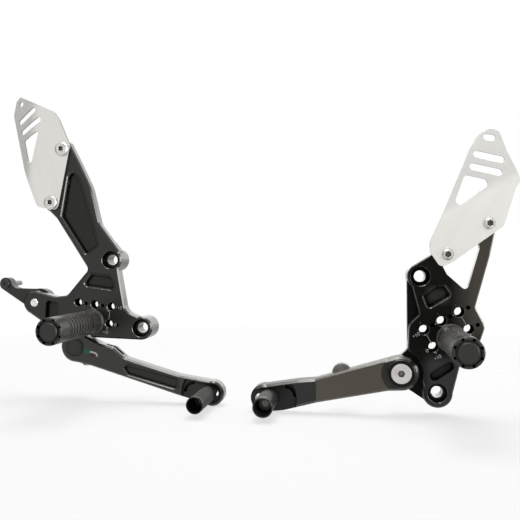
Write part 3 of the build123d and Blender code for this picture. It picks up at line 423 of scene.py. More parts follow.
@dataclass(frozen=True)
class TurnedMetal:
    """Bare or oxidised metal with faint tool lines round the line of sight.

    Args:
        name: name of the material.
        metal: colour of the metal.
        shade: colour in the tool lines and stains.
        roughness: middle of the roughness range.
        metallic: share of the metal's own reflection.
        deep: colour painted inside sockets and bores: painted shade on most metals, a pale painted glint on
            the toe bolts.
    """

    name: str
    metal: Triple
    shade: Triple
    roughness: float
    metallic: float = 1.0
    deep: Triple = (0.02, 0.017, 0.015)

    def build(self) -> bpy.types.Material:
        """Makes the material."""
        edge_gain, stain_rough = 1.15, 0.06
        graph = Graph(self.name)
        normal, edge = graph.edge(radius=0.2)
        lines = graph.noise(graph.stretched((260.0, 5200.0, 260.0)), scale=1.0)
        stain = graph.noise(graph.place, scale=160.0)
        bare = graph.spread(graph.times(lines, stain), low=0.0, high=1.0, start=0.12, end=0.34)
        colour = graph.blend(bare, rgba(self.shade), rgba(self.metal))
        colour = graph.blend(edge, colour, rgba(self.metal, edge_gain))
        # Painted shade in sockets and bores: the colour falls to the deep colour where the piece's own walls
        # close round.
        light = graph.painted_occlusion(reach=9.0, dark=0.08, start=0.5, end=0.95)
        colour = graph.blend(light, rgba(self.deep), colour)
        rough = graph.spread(stain, self.roughness - stain_rough, self.roughness + stain_rough)
        normal = graph.bump(lines, depth=0.006, normal=normal)
        return graph.surface(colour, rough, self.metallic, specular=0.5, normal=normal)


@dataclass(frozen=True)
class Ink:
    """Filled engraving: matt paint that has settled unevenly.

    Args:
        name: name of the material.
        paint: colour of the paint.
        thin: colour where the paint is thin.
    """

    name: str
    paint: Triple
    thin: Triple

    def build(self) -> bpy.types.Material:
        """Makes the material."""
        graph = Graph(self.name)
        normal, _ = graph.edge(radius=0.02)
        patch = graph.noise(graph.place, scale=900.0)
        speck = graph.noise(graph.place, scale=4200.0, detail=2.0)
        colour = graph.blend(graph.spread(patch, 0.0, 1.0), rgba(self.thin), rgba(self.paint))
        rough = graph.spread(speck, low=0.45, high=0.65)
        normal = graph.bump(speck, depth=0.004, normal=normal)
        return graph.surface(colour, rough, metallic=0.0, specular=0.3, normal=normal)


Finish = Anodised | BrushedSheet | TurnedMetal | Ink

BLACK = Anodised("black_anodised", (0.0075, 0.0075, 0.007), (0.06, 0.06, 0.057), specular=0.46,
                 roughness=0.31)
# Copies of the black anodise for each part, whose front faces keep less reflection: painted shade that sets
# how dark each part's front reads.
RING_BLACK = replace(BLACK, name="ring_black_anodised", specular=0.7, flat_gloss=0.25)
BRAKE_BLACK = replace(BLACK, name="brake_black_anodised", specular=0.85, grain=0.004, face=-20.0,
                      flat_gloss=0.57, keen_walls=0.1)
LEVER_BLACK = replace(BRAKE_BLACK, name="lever_black_anodised", face=-22.0, flat_gloss=0.7)
TOE_BLACK = Anodised("toe_black_anodised", (0.011, 0.011, 0.0103), (0.04, 0.04, 0.038), specular=0.16,
                     roughness=0.42, edge_radius=0.12)
HOLE_BLACK = Anodised("hole_black", (0.005, 0.005, 0.0048), (0.02, 0.02, 0.019), specular=0.04,
                      roughness=0.75)
# Painted zones of the shift hanger: a warm painted sheen on the right leg, a painted lighter grey on the
# lower part, and painted light on the upper pocket's floor.
RIGHT_LEG_SHEEN = Zone((0.125, 0.110, 0.092), (291.0, -58.0), (400.0, 200.0), soft=9.0, duller=0.4)
LOWER_PART_LIGHT = Zone((0.066, 0.067, 0.068), (264.0, -200.0), (400.0, -76.0), soft=4.0, duller=0.3)
UPPER_POCKET_LIGHT = Zone((0.080, 0.080, 0.072), (265.0, -33.0), (280.0, -22.0), soft=3.0)
HANGER_BLACK = Anodised("hanger_black_anodised", (0.006, 0.006, 0.0054), (0.05, 0.05, 0.047), specular=0.85,
                        roughness=0.28, zones=(RIGHT_LEG_SHEEN, LOWER_PART_LIGHT, UPPER_POCKET_LIGHT), face=-37.0,
                        flat_gloss=0.1, keen_walls=0.08)
# Painted sheen: the shift lever's arm is painted a warm brown between its crease and its hub.
LEVER_ARM_SHEEN = Zone((0.120, 0.103, 0.083), (178.7, -200.0), (245.0, 0.0), soft=0.3, hub=(245.0, -88.4, 15.2))
GREY = Anodised("grey_anodised", (0.010, 0.010, 0.011), (0.07, 0.068, 0.065), specular=1.0, roughness=0.32,
                zones=(LEVER_ARM_SHEEN,), face=-39.0, flat_gloss=0.44, keen_walls=0.1)
CAP_GREY = Anodised("cap_anodised", (0.025, 0.025, 0.0242), (0.10, 0.10, 0.098), specular=0.38,
                    roughness=0.40, edge_radius=0.12)
# The pegs' pale worn colour on edges is wear and also a painted highlight along the ridges' edges.
PEG_GREY = Anodised("peg_anodised", (0.058, 0.056, 0.052), (0.42, 0.405, 0.38), specular=0.4, roughness=0.45,
                    edge_radius=0.35, metallic=0.35, groove_reach=2.5)
# The two guards are one brushed sheet: the shift guard's colours are set brighter than the brake guard's,
# painted light and shade that sets each guard's tone.
BRAKE_SHEET = BrushedSheet("brake_guard_aluminium", (0.78, 0.765, 0.73), (0.695, 0.682, 0.652), turn=14.0)
SHIFT_SHEET = BrushedSheet("shift_guard_aluminium", (0.88, 0.865, 0.825), (0.80, 0.785, 0.75), turn=-30.0)
STEEL = TurnedMetal("bright_steel", (0.82, 0.795, 0.77), (0.64, 0.62, 0.60), roughness=0.26)
SCREW_STEEL = TurnedMetal("screw_steel", (0.70, 0.68, 0.655), (0.52, 0.505, 0.49), roughness=0.36)
PIVOT_STEEL = TurnedMetal("pivot_steel", (0.86, 0.825, 0.80), (0.78, 0.75, 0.725), roughness=0.36,
                          metallic=0.5)
GREY_STEEL = TurnedMetal("grey_steel", (0.24, 0.23, 0.22), (0.15, 0.145, 0.14), roughness=0.4)
DARK_STEEL = TurnedMetal("black_steel", (0.020, 0.020, 0.021), (0.009, 0.009, 0.010), roughness=0.34,
                         metallic=0.0)
# Painted glint: the toe bolts' deep colour is pale, so the bolt heads far down the toe tubes show a painted
# highlight.
TOE_BOLT_GLINT_STEEL = replace(DARK_STEEL, name="toe_bolt_steel", deep=(0.80, 0.74, 0.68))
BRONZE = TurnedMetal("bronze", (0.56, 0.36, 0.17), (0.38, 0.22, 0.09), roughness=0.32)
WHITE_INK = Ink("white_fill", (0.74, 0.735, 0.72), (0.55, 0.545, 0.53))
DIM_INK = Ink("worn_fill", (0.17, 0.17, 0.165), (0.10, 0.10, 0.097))
GREEN_INK = Ink("green_stripe", (0.020, 0.19, 0.09), (0.014, 0.13, 0.06))
PALE_INK = Ink("white_stripe", (0.80, 0.80, 0.78), (0.70, 0.70, 0.68))
RED_INK = Ink("red_stripe", (0.10, 0.020, 0.020), (0.065, 0.014, 0.014))

FINISHES = {
    BLACK: ("rear_stay", "brake_pivot_bolt"),
    RING_BLACK: ("shift_pivot_ring",),
    BRAKE_BLACK: ("brake_hanger",),
    LEVER_BLACK: ("brake_lever",),
    HANGER_BLACK: ("shift_hanger",),
    GREY: ("shift_lever",),
    CAP_GREY: ("brake_peg_cap", "shift_peg_cap", "brake_pivot_cap", "brake_toe_peg", "shift_toe_peg"),
    PEG_GREY: ("brake_foot_peg", "shift_foot_peg"),
    BRAKE_SHEET: ("brake_heel_guard",),
    SHIFT_SHEET: ("shift_heel_guard",),
    STEEL: ("brake_guard_screws", "shift_guard_screws", "shift_guard_washers", "stay_pin", "shift_rod_stud",
            "brake_rod_pin", "brake_peg_dowel", "shift_peg_dowel", "shift_pivot_sleeve"),
    PIVOT_STEEL: ("shift_pivot_bolt",),
    GREY_STEEL: ("stay_post", "shift_rod_boss"),
    TOE_BOLT_GLINT_STEEL: ("brake_toe_bolt", "shift_toe_bolt"),
    DARK_STEEL: ("brake_peg_bolt", "shift_peg_bolt", "brake_pivot_nut", "shift_pivot_nut", "brake_toe_nut",
                 "shift_toe_nut", "stay_screw"),
    BRONZE: ("brake_pivot_bush", "shift_pivot_bush"),
}


class Paintbox:
    """Makes each finish once and puts it on pieces."""

    def __init__(self) -> None:
        """Starts with no material made."""
        self.made: dict[Finish, bpy.types.Material] = {}

    def coat(self, piece: Piece, finish: Finish) -> None:
        """Gives a piece one finish in place of any other, and reports the piece."""
        if finish not in self.made:
            self.made[finish] = finish.build()
        piece.data.materials.clear()
        piece.data.materials.append(self.made[finish])
        LOG.info("%s: %s", piece.name, finish.name)

    def coat_nodes(self, nodes: dict[str, Piece]) -> None:
        """Gives every carried-over CAD node its finish."""
        for finish, names in FINISHES.items():
            for name in names:
                self.coat(nodes[name], finish)


def in_scene(name: str, data: bpy.types.ID) -> Piece:
    """New object in the scene for a mesh, a light or a camera."""
    piece = bpy.data.objects.new(name, data)
    bpy.context.scene.collection.objects.link(piece)
    return piece


def add_mesh(name: str, points: Array, faces: list[list[int]]) -> Piece:
    """Object at the origin with its place in its mesh."""
    mesh = bpy.data.meshes.new(name)
    mesh.from_pydata(points.tolist(), [], faces)
    mesh.validate()
    mesh.update()
    return in_scene(name, mesh)


def ring_mesh(name: str, rings: Array, loop: bool = False) -> Piece:
    """Closed piece from rings of points: quads join each ring to the next one.

    The ring at each end is closed by one face, unless the last ring joins the first again.

    Args:
        name: name of the piece.
        rings: array of shape (rings, points in a ring, 3) in metres. Points run so that faces look outwards.
        loop: whether the last ring joins the first.

    Returns:
        Object at the origin with its place in its mesh.
    """
    count, around = rings.shape[:2]
    index = np.arange(count * around).reshape(count, around)
    upper = np.roll(index, -1, axis=0) if loop else index[1:]
    lower = index if loop else index[:-1]
    quads = np.stack([lower, np.roll(lower, -1, axis=1), np.roll(upper, -1, axis=1), upper], axis=-1)
    faces = quads.reshape(-1, 4).tolist()
    if not loop:
        faces += [index[0][::-1].tolist(), index[-1].tolist()]
    return add_mesh(name, rings.reshape(-1, 3), faces)


def join(name: str, pieces: list[Piece]) -> Piece:
    """Makes one piece of several meshes that have no materials yet."""
    with bpy.context.temp_override(active_object=pieces[0], selected_editable_objects=pieces):
        bpy.ops.object.join()
    pieces[0].name = name
    pieces[0].data.name = name
    return pieces[0]


def grid(levels: Array, around: int) -> tuple[Array, Array]:
    """Level and angle of the points of a turned surface: a row for each level, and equal steps of angle."""
    level, angle = np.meshgrid(levels, np.linspace(0, FULL_TURN, around, endpoint=False), indexing="ij")
    return level, angle


def thread_wave(level: Array, angle: Array, pitch: float) -> Array:
    """Share of a thread's depth: a triangle wave of the level over the pitch less the turn."""
    return np.abs(2 * np.mod(level / pitch - angle / FULL_TURN, 1.0) - 1)


@dataclass(frozen=True)
class Knurl:
    """Two crossing families of helical furrows round a barrel.

    Args:
        starts: furrows of one family round the barrel.
        lead: length along the barrel in which a furrow moves on by one start.
        step: distance between the rings of points.
        fade: length over which the cut fades out at each end.
        depth: depth of the furrows.
        samples: points of a ring for each start.
        slope: how steeply a furrow's flank rises, so that diamonds keep a flat top.
    """

    starts: int
    lead: float
    step: float
    fade: float
    depth: float = 0.16
    samples: int = 6
    slope: float = 1.6

    @property
    def around(self) -> int:
        """Points of a ring."""
        return self.starts * self.samples

    def cut(self, level: Array, angle: Array, start: float, stop: float) -> Array:
        """Depth cut into the barrel between two levels.

        Each family is a saw-tooth of the angle times the starts, plus or minus the level over the lead. The
        cut is deepest where either family's furrow runs, so that diamonds stay proud between the furrows.

        Args:
            level: levels of the points.
            angle: angles of the points.
            start: level at which the knurl begins.
            stop: level at which it ends.

        Returns:
            Depth at each point.
        """
        turns = angle * self.starts / FULL_TURN
        peaks = [1 - np.abs(2 * np.mod(turns + sign * level / self.lead, 1.0) - 1) for sign in (1, -1)]
        fade = np.clip((level - start) / self.fade, 0, 1) * np.clip((stop - level) / self.fade, 0, 1)
        return self.depth * fade * (1 - np.minimum(self.slope * np.minimum(*peaks), 1.0))


@dataclass(frozen=True)
class TurnedPiece:
    """Piece of one or more equal shapes, each built round an axis that runs towards the viewer.

    Args:
        name: name of the piece.
        node: CAD node that it stands for, or nothing for a piece that is added to one.
        side: side of the set that it is on.
        body: body that carries it.
        finish: finish of the piece.
        centres: places of the axes in the front view.
    """

    name: str
    node: str | None
    side: Side
    body: Body
    finish: Finish
    centres: tuple[Point, ...]

    slot: ClassVar[str] = "bright_steel"
    crease: ClassVar[float] = 35.0
    loop: ClassVar[bool] = False

    def shape(self) -> Grids:
        """Level, radius and angle of the points of one shape, a row for each ring."""
        raise NotImplementedError

    def build(self, paint: Paintbox) -> None:
        """Makes the shape about each axis, joins the shapes and dresses the piece.

        Args:
            paint: box that the finish comes from.
        """
        level, radius, angle = self.shape()
        made = []
        for u, w in self.centres:
            rings = np.stack([u + radius * np.cos(angle), w + radius * np.sin(angle), level], axis=-1)
            made.append(ring_mesh(self.name, self.side.place(rings), self.loop))
        piece = join(self.name, made) if len(made) > 1 else made[0]
        piece.data.shade_smooth()
        piece.data.set_sharp_from_angle(angle=math.radians(self.crease))
        if self.node:
            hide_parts(self.node)
        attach(piece, self.body.value)
        paint.coat(piece, self.finish)


@dataclass(frozen=True)
class KnurledPeg(TurnedPiece):
    """Barrel of a foot peg: collar, neck, plain bands, and knurled lands between turned grooves."""

    radius: float = 10.4
    collar_radius: float = 11.2
    collar: float = 3.0
    collar_edge: float = 0.3
    neck_radius: float = 9.6
    neck_slope: float = 0.8
    band_start: float = 5.0
    ridge_start: float = 19.8
    ridge_pitch: float = 5.1
    ridge_count: int = 9
    groove_depth: float = 1.4
    groove_width: float = 2.2
    groove_side: float = 0.35
    end: float = 65.5
    end_notch: float = 1.6
    knurl: Knurl = Knurl(starts=52, lead=1.7, step=0.2, fade=0.6)

    slot: ClassVar[str] = "knurled_aluminium"

    def outline(self) -> Array:
        """Turned outline before knurling, as (level, radius) rows."""
        points = [(0.0, self.collar_radius), (self.collar - self.collar_edge, self.collar_radius),
                  (self.collar, self.collar_radius - self.collar_edge),
                  (self.collar + self.neck_slope, self.neck_radius), (self.band_start, self.neck_radius),
                  (self.band_start + self.neck_slope, self.radius)]
        floor = self.radius - self.groove_depth
        for ridge in range(self.ridge_count):
            start = self.ridge_start + ridge * self.ridge_pitch
            stop = start + self.groove_width
            points += [(start, self.radius), (start + self.groove_side, floor),
                       (stop - self.groove_side, floor), (stop, self.radius)]
        notch = self.end - self.end_notch
        points += [(notch, self.radius), (notch + self.groove_side, self.radius - self.end_notch),
                   (self.end, self.radius - self.end_notch)]
        return np.array(points)

    def shape(self) -> Grids:
        """Barrel as a surface of level and angle: the outline's radius less the knurl's cut."""
        stop = self.ridge_start + (self.ridge_count - 1) * self.ridge_pitch + self.groove_width
        outline = self.outline()
        levels = np.union1d(outline[:, 0], np.arange(self.ridge_start, stop, self.knurl.step))
        radius = np.interp(levels, outline[:, 0], outline[:, 1])
        level, angle = grid(levels, self.knurl.around)
        return level, radius[:, None] - self.knurl.cut(level, angle, self.ridge_start, stop), angle


@dataclass(frozen=True)
class ToeTube(TurnedPiece):
    """Toe peg: a thin tube with a fine knurl between plain bands, closed by a web at its foot.

    Args:
        radius: outer radius.
        length: length from the lever's face.
        web: length of the solid foot.
    """

    radius: float
    length: float
    web: float
    wall: float = 1.2
    screw_radius: float = 3.06
    edge: float = 0.6
    knurl_start: float = 3.0
    knurl_margin: float = 3.5
    knurl: Knurl = Knurl(starts=44, lead=1.06, step=0.18, fade=0.5)

    slot: ClassVar[str] = "black_anodised"
    crease: ClassVar[float] = 40.0
    loop: ClassVar[bool] = True

    def shape(self) -> Grids:
        """Tube as a surface of angle and of a path round its wall, knurled on the outside.

        The path runs up the outside, over the rim, down the bore, in over the web and down the screw's hole.
        """
        stop = self.length - self.knurl_margin
        bore = self.radius - self.wall
        outside = np.union1d(np.array([0.0, self.knurl_start, stop, self.length - self.edge]),
                             np.arange(self.knurl_start, stop, self.knurl.step))
        inside = np.array([(self.length, self.radius - self.edge), (self.length, bore + self.edge / 2),
                           (self.length - self.edge, bore), (self.web, bore),
                           (self.web, self.screw_radius), (0.0, self.screw_radius)])
        reach = np.concatenate([np.full(len(outside), self.radius), inside[:, 1]])[:, None]
        level, angle = grid(np.concatenate([outside, inside[:, 0]]), self.knurl.around)
        cut = self.knurl.cut(level, angle, self.knurl_start, stop)
        return level, reach - np.where(reach == self.radius, cut, 0.0), angle


@dataclass(frozen=True)
class ThreadedHoles(TurnedPiece):
    """Cut threads in the free holes of one peg grid, as thin sleeves on the holes' walls.

    Args:
        radius: radius of the sleeves' outside, a little more than the holes'.
        front: level at which the threads begin.
        back: level at which they end.
    """

    radius: float
    front: float
    back: float
    depth: float = 0.5
    pitch: float = 1.25
    skin: float = 0.02
    around: int = 40
    steps_per_pitch: int = 8

    slot: ClassVar[str] = "black_anodised"
    crease: ClassVar[float] = 30.0
    loop: ClassVar[bool] = True

    def shape(self) -> Grids:
        """One sleeve: inside, its radius is less by a thread that fades out towards the front."""
        count = int((self.front - self.back) / self.pitch * self.steps_per_pitch)
        levels = np.concatenate([np.linspace(self.back, self.front, count), [self.front, self.back]])
        level, angle = grid(levels[::-1], self.around)
        fade = np.clip((self.front - level) / self.pitch, 0, 1)
        cut = self.skin + self.depth * thread_wave(level, angle, self.pitch) * fade
        is_inner = (np.arange(len(levels)) < count)[::-1, None]
        return level, self.radius - np.where(is_inner, cut, 0.0), angle


@dataclass(frozen=True)
class ThreadedStud(TurnedPiece):
    """Stud with a cut thread on its free end.

    Args:
        outline: (level, radius) rows from its free end to its other end.
        thread: levels between which the thread runs.
    """

    outline: tuple[Point, ...]
    thread: Point
    depth: float = 0.5
    pitch: float = 1.0
    lead_in: float = 0.4
    around: int = 48
    steps_per_pitch: int = 8

    crease: ClassVar[float] = 30.0

    def shape(self) -> Grids:
        """Stud: the outline's radius less a thread that fades out at both of its ends."""
        outline = np.array(self.outline)
        low, high = self.thread
        winding = np.arange(low, high, self.pitch / self.steps_per_pitch)
        middle = np.stack([winding, np.interp(winding, outline[:, 0], outline[:, 1])], axis=1)
        rows = np.concatenate([outline[outline[:, 0] <= low], middle, outline[outline[:, 0] >= high]])
        level, angle = grid(rows[:, 0], self.around)
        fade = np.clip((level - low) / self.lead_in, 0, 1) * np.clip((high - level) / self.pitch, 0, 1)
        return level, rows[:, 1:] - self.depth * thread_wave(level, angle, self.pitch) * fade, angle


@dataclass(frozen=True)
class ButtonScrews(TurnedPiece):
    """Dome head screws of a heel guard, with hexagon sockets.

    Args:
        low: level of the shank's end.
        seat: level under the head.
        head_radius: radius of the head.
        head: height of the head.
    """

    low: float
    seat: float
    head_radius: float
    head: float
    flat_share: float = 0.55
    rim_share: float = 0.25
    shank_radius: float = 3.0
    shank_edge: float = 0.4
    key: float = 4.0
    key_depth: float = 2.2
    drill_depth: float = 0.5
    drill_share: float = 0.1
    edge: float = 0.2
    around: int = 72
    dome_steps: int = 12

    def shape(self) -> Grids:
        """One screw: an outline turned about the axis, with a hexagon sunk into its top.

        The dome is a quarter of an ellipse from the rim to the flat top. In the socket the radius is half the
        key over the cosine of the angle to the nearest flat's middle.
        """
        top = self.seat + self.head
        flat = self.flat_share * self.head_radius
        rim = self.seat + self.rim_share * self.head
        arc = np.linspace(0.0, math.pi / 2, self.dome_steps)
        dome_radius = flat + (self.head_radius - flat) * np.cos(arc)
        dome = np.stack([rim + (top - rim) * np.sin(arc), dome_radius], axis=1)
        shank = np.array([(self.low, self.shank_radius - self.shank_edge),
                          (self.low + self.shank_edge, self.shank_radius),
                          (self.seat, self.shank_radius), (self.seat, self.head_radius)])
        floor = top - self.key_depth
        outside = np.concatenate([shank, dome])
        socket_levels = [top, top - self.edge, floor, floor - self.drill_depth]
        level, angle = grid(np.concatenate([outside[:, 0], socket_levels]), self.around)
        sixth = math.pi / 3
        hexagon = self.key / 2 / np.cos(np.mod(angle[0] + sixth / 2, sixth) - sixth / 2)
        socket = [hexagon + self.edge, hexagon, hexagon, self.drill_share * hexagon]
        return level, np.concatenate([np.repeat(outside[:, 1:], self.around, axis=1), socket]), angle


def strip(name: str, path: Array, width: float, side: Side, face: float, loop: bool = False) -> Piece:
    """Flat painted line: a thin rectangle carried along a path on a hanger's or lever's face.

    At each point of the path the rectangle lies across the mean of the directions to its neighbours.

    Args:
        name: name of the piece.
        path: array of (u, w) points in millimetres.
        width: width of the line.
        side: side of the set that it is on.
        face: level of the face under the line.
        loop: whether the path closes on itself.

    Returns:
        The line as a closed piece.
    """
    sunk, proud = 0.02, 0.03
    if loop:
        along = np.roll(path, -1, axis=0) - np.roll(path, 1, axis=0)
    else:
        along = np.gradient(path, axis=0)
    along = along / np.linalg.norm(along, axis=1, keepdims=True)
    across = np.stack([-along[:, 1], along[:, 0]], axis=1) * width / 2
    left, right = path + across, path - across
    low = np.full((len(path), 1), face - sunk)
    high = np.full((len(path), 1), face + proud)
    rings = np.stack([np.hstack([left, low]), np.hstack([right, low]), np.hstack([right, high]),
                      np.hstack([left, high])], axis=1)
    return ring_mesh(name, side.place(rings)[:, ::-1], loop)


def turned(points: Array, degrees: float, at: Point) -> Array:
    """Points turned about the origin and moved to a place in the front view."""
    angle = math.radians(degrees)
    matrix = np.array([[math.cos(angle), math.sin(angle)], [-math.sin(angle), math.cos(angle)]])
    return points @ matrix + np.array(at)


class Gap(Enum):
    """Which side of an index hole the dash of a row is on."""

    BEFORE = "before"
    AFTER = "after"


@dataclass(frozen=True)
class PegMarks:
    """Marks round the six peg holes: dashes along the rows, lines between them, ticks and offsets in figures.

    Args:
        side: side of the set that they are on.
        label: word that the pieces' names begin with.
        peg: peg's place in the front view, which is the middle hole of the lower row.
        tilt: slope of the rows in degrees.
        gap: where the dashes of the upper row are.
        figures: text, place and foot of the short dash that leads to it from a hole.
        lines: lines between holes of the two rows.
    """

    side: Side
    label: str
    peg: Point
    tilt: float
    gap: Gap
    figures: tuple[tuple[str, Point, Point], ...]
    lines: tuple[tuple[Point, ...], ...]
    pitch: float = 15.0
    hole_radius: float = 4.2
    index_radius: float = 1.6
    room: float = 0.2
    line: float = 0.42
    tick: float = 1.5
    tick_room: float = 1.2
    height: float = 2.7
    letter_step: float = 0.72
    lead_share: float = 0.38

    def stroke(self, path: Array, loop: bool = False) -> Piece:
        """One painted line on the hanger's face."""
        return strip("stroke", path, self.line, self.side, 0.0, loop)

    def glyph(self, letter: str) -> list[tuple[Array, bool]]:
        """Strokes of a letter of height 1 about its middle, each with whether it closes on itself."""
        round_turn = np.linspace(0, FULL_TURN, 24, endpoint=False)
        bar, inner = 0.24, 0.08
        letters = {
            "+": [(np.array([[-bar, 0.0], [bar, 0.0]]), False),
                  (np.array([[0.0, inner], [0.0, bar]]), False),
                  (np.array([[0.0, -bar], [0.0, -inner]]), False)],
            "1": [(np.array([[-0.16, 0.26], [0.0, 0.46], [0.0, -0.5]]), False)],
            "0": [(np.stack([0.26 * np.cos(round_turn), 0.46 * np.sin(round_turn)], axis=1), True)],
        }
        return letters[letter]

    def write(self, text: str, at: Point) -> list[Piece]:
        """Strokes of a text centred on a place and lying along the rows."""
        step = self.letter_step * self.height
        strokes = []
        for place, letter in enumerate(text):
            shift = np.array([(place - (len(text) - 1) / 2) * step, 0.0])
            for path, loop in self.glyph(letter):
                strokes.append(self.stroke(turned(path * self.height + shift, self.tilt, at), loop))
        return strokes

    def repeated(self, start: Point, end: Point, columns: tuple[int, ...]) -> list[Piece]:
        """Equal straight strokes along the rows, one pitch apart."""
        paths = [np.array([start, end]) + np.array([column * self.pitch, 0.0]) for column in columns]
        return [self.stroke(turned(path, self.tilt, self.peg)) for path in paths]

    def dashes(self) -> list[Piece]:
        """Dashes between the holes of the upper row, on one side of each index hole."""
        half = self.pitch / 2
        clear = self.index_radius + self.room
        ends = {Gap.BEFORE: (self.hole_radius + self.room, half - clear),
                Gap.AFTER: (half + clear, self.pitch - self.hole_radius)}
        start, end = ends[self.gap]
        return self.repeated((start, self.pitch), (end, self.pitch), columns=(-1, 0))

    def ticks(self) -> list[Piece]:
        """Short worn ticks above the upper row."""
        foot = self.pitch + self.hole_radius + self.tick_room
        return self.repeated((0.0, foot), (0.0, foot + self.tick), columns=(-1, 0, 1))

    def build(self, paint: Paintbox) -> None:
        """Makes the clear marks of one hanger as one piece and the worn ticks as another.

        Args:
            paint: box that the paints come from.
        """
        strokes = self.dashes()
        strokes += [self.stroke(np.array(path)) for path in self.lines]
        for text, at, foot in self.figures:
            strokes += self.write(text, at)
            start = np.array(foot)
            strokes.append(self.stroke(np.array([start, start + (np.array(at) - start) * self.lead_share])))
        for name, made, finish in (("marks", strokes, WHITE_INK), ("ticks", self.ticks(), DIM_INK)):
            piece = join(f"{self.label}_peg_{name}", made)
            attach(piece, Body.HANGERS.value)
            paint.coat(piece, finish)


@dataclass(frozen=True)
class Field:
    """One colour of the dash on the brake lever: a painted band along a bent line.

    Args:
        finish: paint of the field.
        path: points of its middle line in the brake side's front view.
        width: width of the band.
        face: level of the lever's front face.
    """

    finish: Ink
    path: tuple[Point, ...]
    width: float
    face: float = 2.0

    def build(self, paint: Paintbox) -> None:
        """Makes the band on the lever's front face."""
        name = f"brake_lever_{self.finish.name}"
        piece = strip(name, np.array(self.path), self.width, BRAKE_SIDE, self.face)
        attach(piece, Body.BRAKE_LEVER.value)
        paint.coat(piece, self.finish)


SHEETS = ("brake_heel_guard", "shift_heel_guard")
BRIGHT = (*SHEETS, "shift_button_screws", "shift_guard_washers")


@dataclass(frozen=True)
class Lamp:
    """Soft light that looks at the middle of the set.

    Args:
        name: name of the lamp.
        place: where it stands, in metres.
        width: length of its level side in metres.
        depth: length of its other side.
        glow: brightness of its face, where 1 is the white of the surroundings.
        spared: pieces that the lamp leaves alone, because it would wash them out.
        mirrored_only: whether it shows in reflections and gives matt surfaces no light.
    """

    name: str
    place: Triple
    width: float
    depth: float
    glow: float
    spared: tuple[str, ...] = ()
    mirrored_only: bool = True

    def build(self, target: Array) -> None:
        """Makes the lamp and turns it to the target. Its power is its glow times pi times its area.

        Args:
            target: point that the lamp looks at.
        """
        data = bpy.data.lights.new(self.name, "AREA")
        data.shape = "RECTANGLE"
        data.size = self.width
        data.size_y = self.depth
        data.energy = self.glow * math.pi * self.width * self.depth
        lamp = in_scene(self.name, data)
        lamp.visible_camera = False
        lamp.visible_diffuse = not self.mirrored_only
        lamp.location = self.place
        aim = Vector(target) - lamp.location
        lamp.rotation_euler = aim.to_track_quat("-Z", "Y").to_euler()
        if self.spared:
            group = bpy.data.collections.new(f"{self.name}_spared")
            for name in self.spared:
                group.objects.link(bpy.data.objects[name])
            for member in group.collection_objects:
                member.light_linking.link_state = "EXCLUDE"
            lamp.light_linking.receiver_collection = group


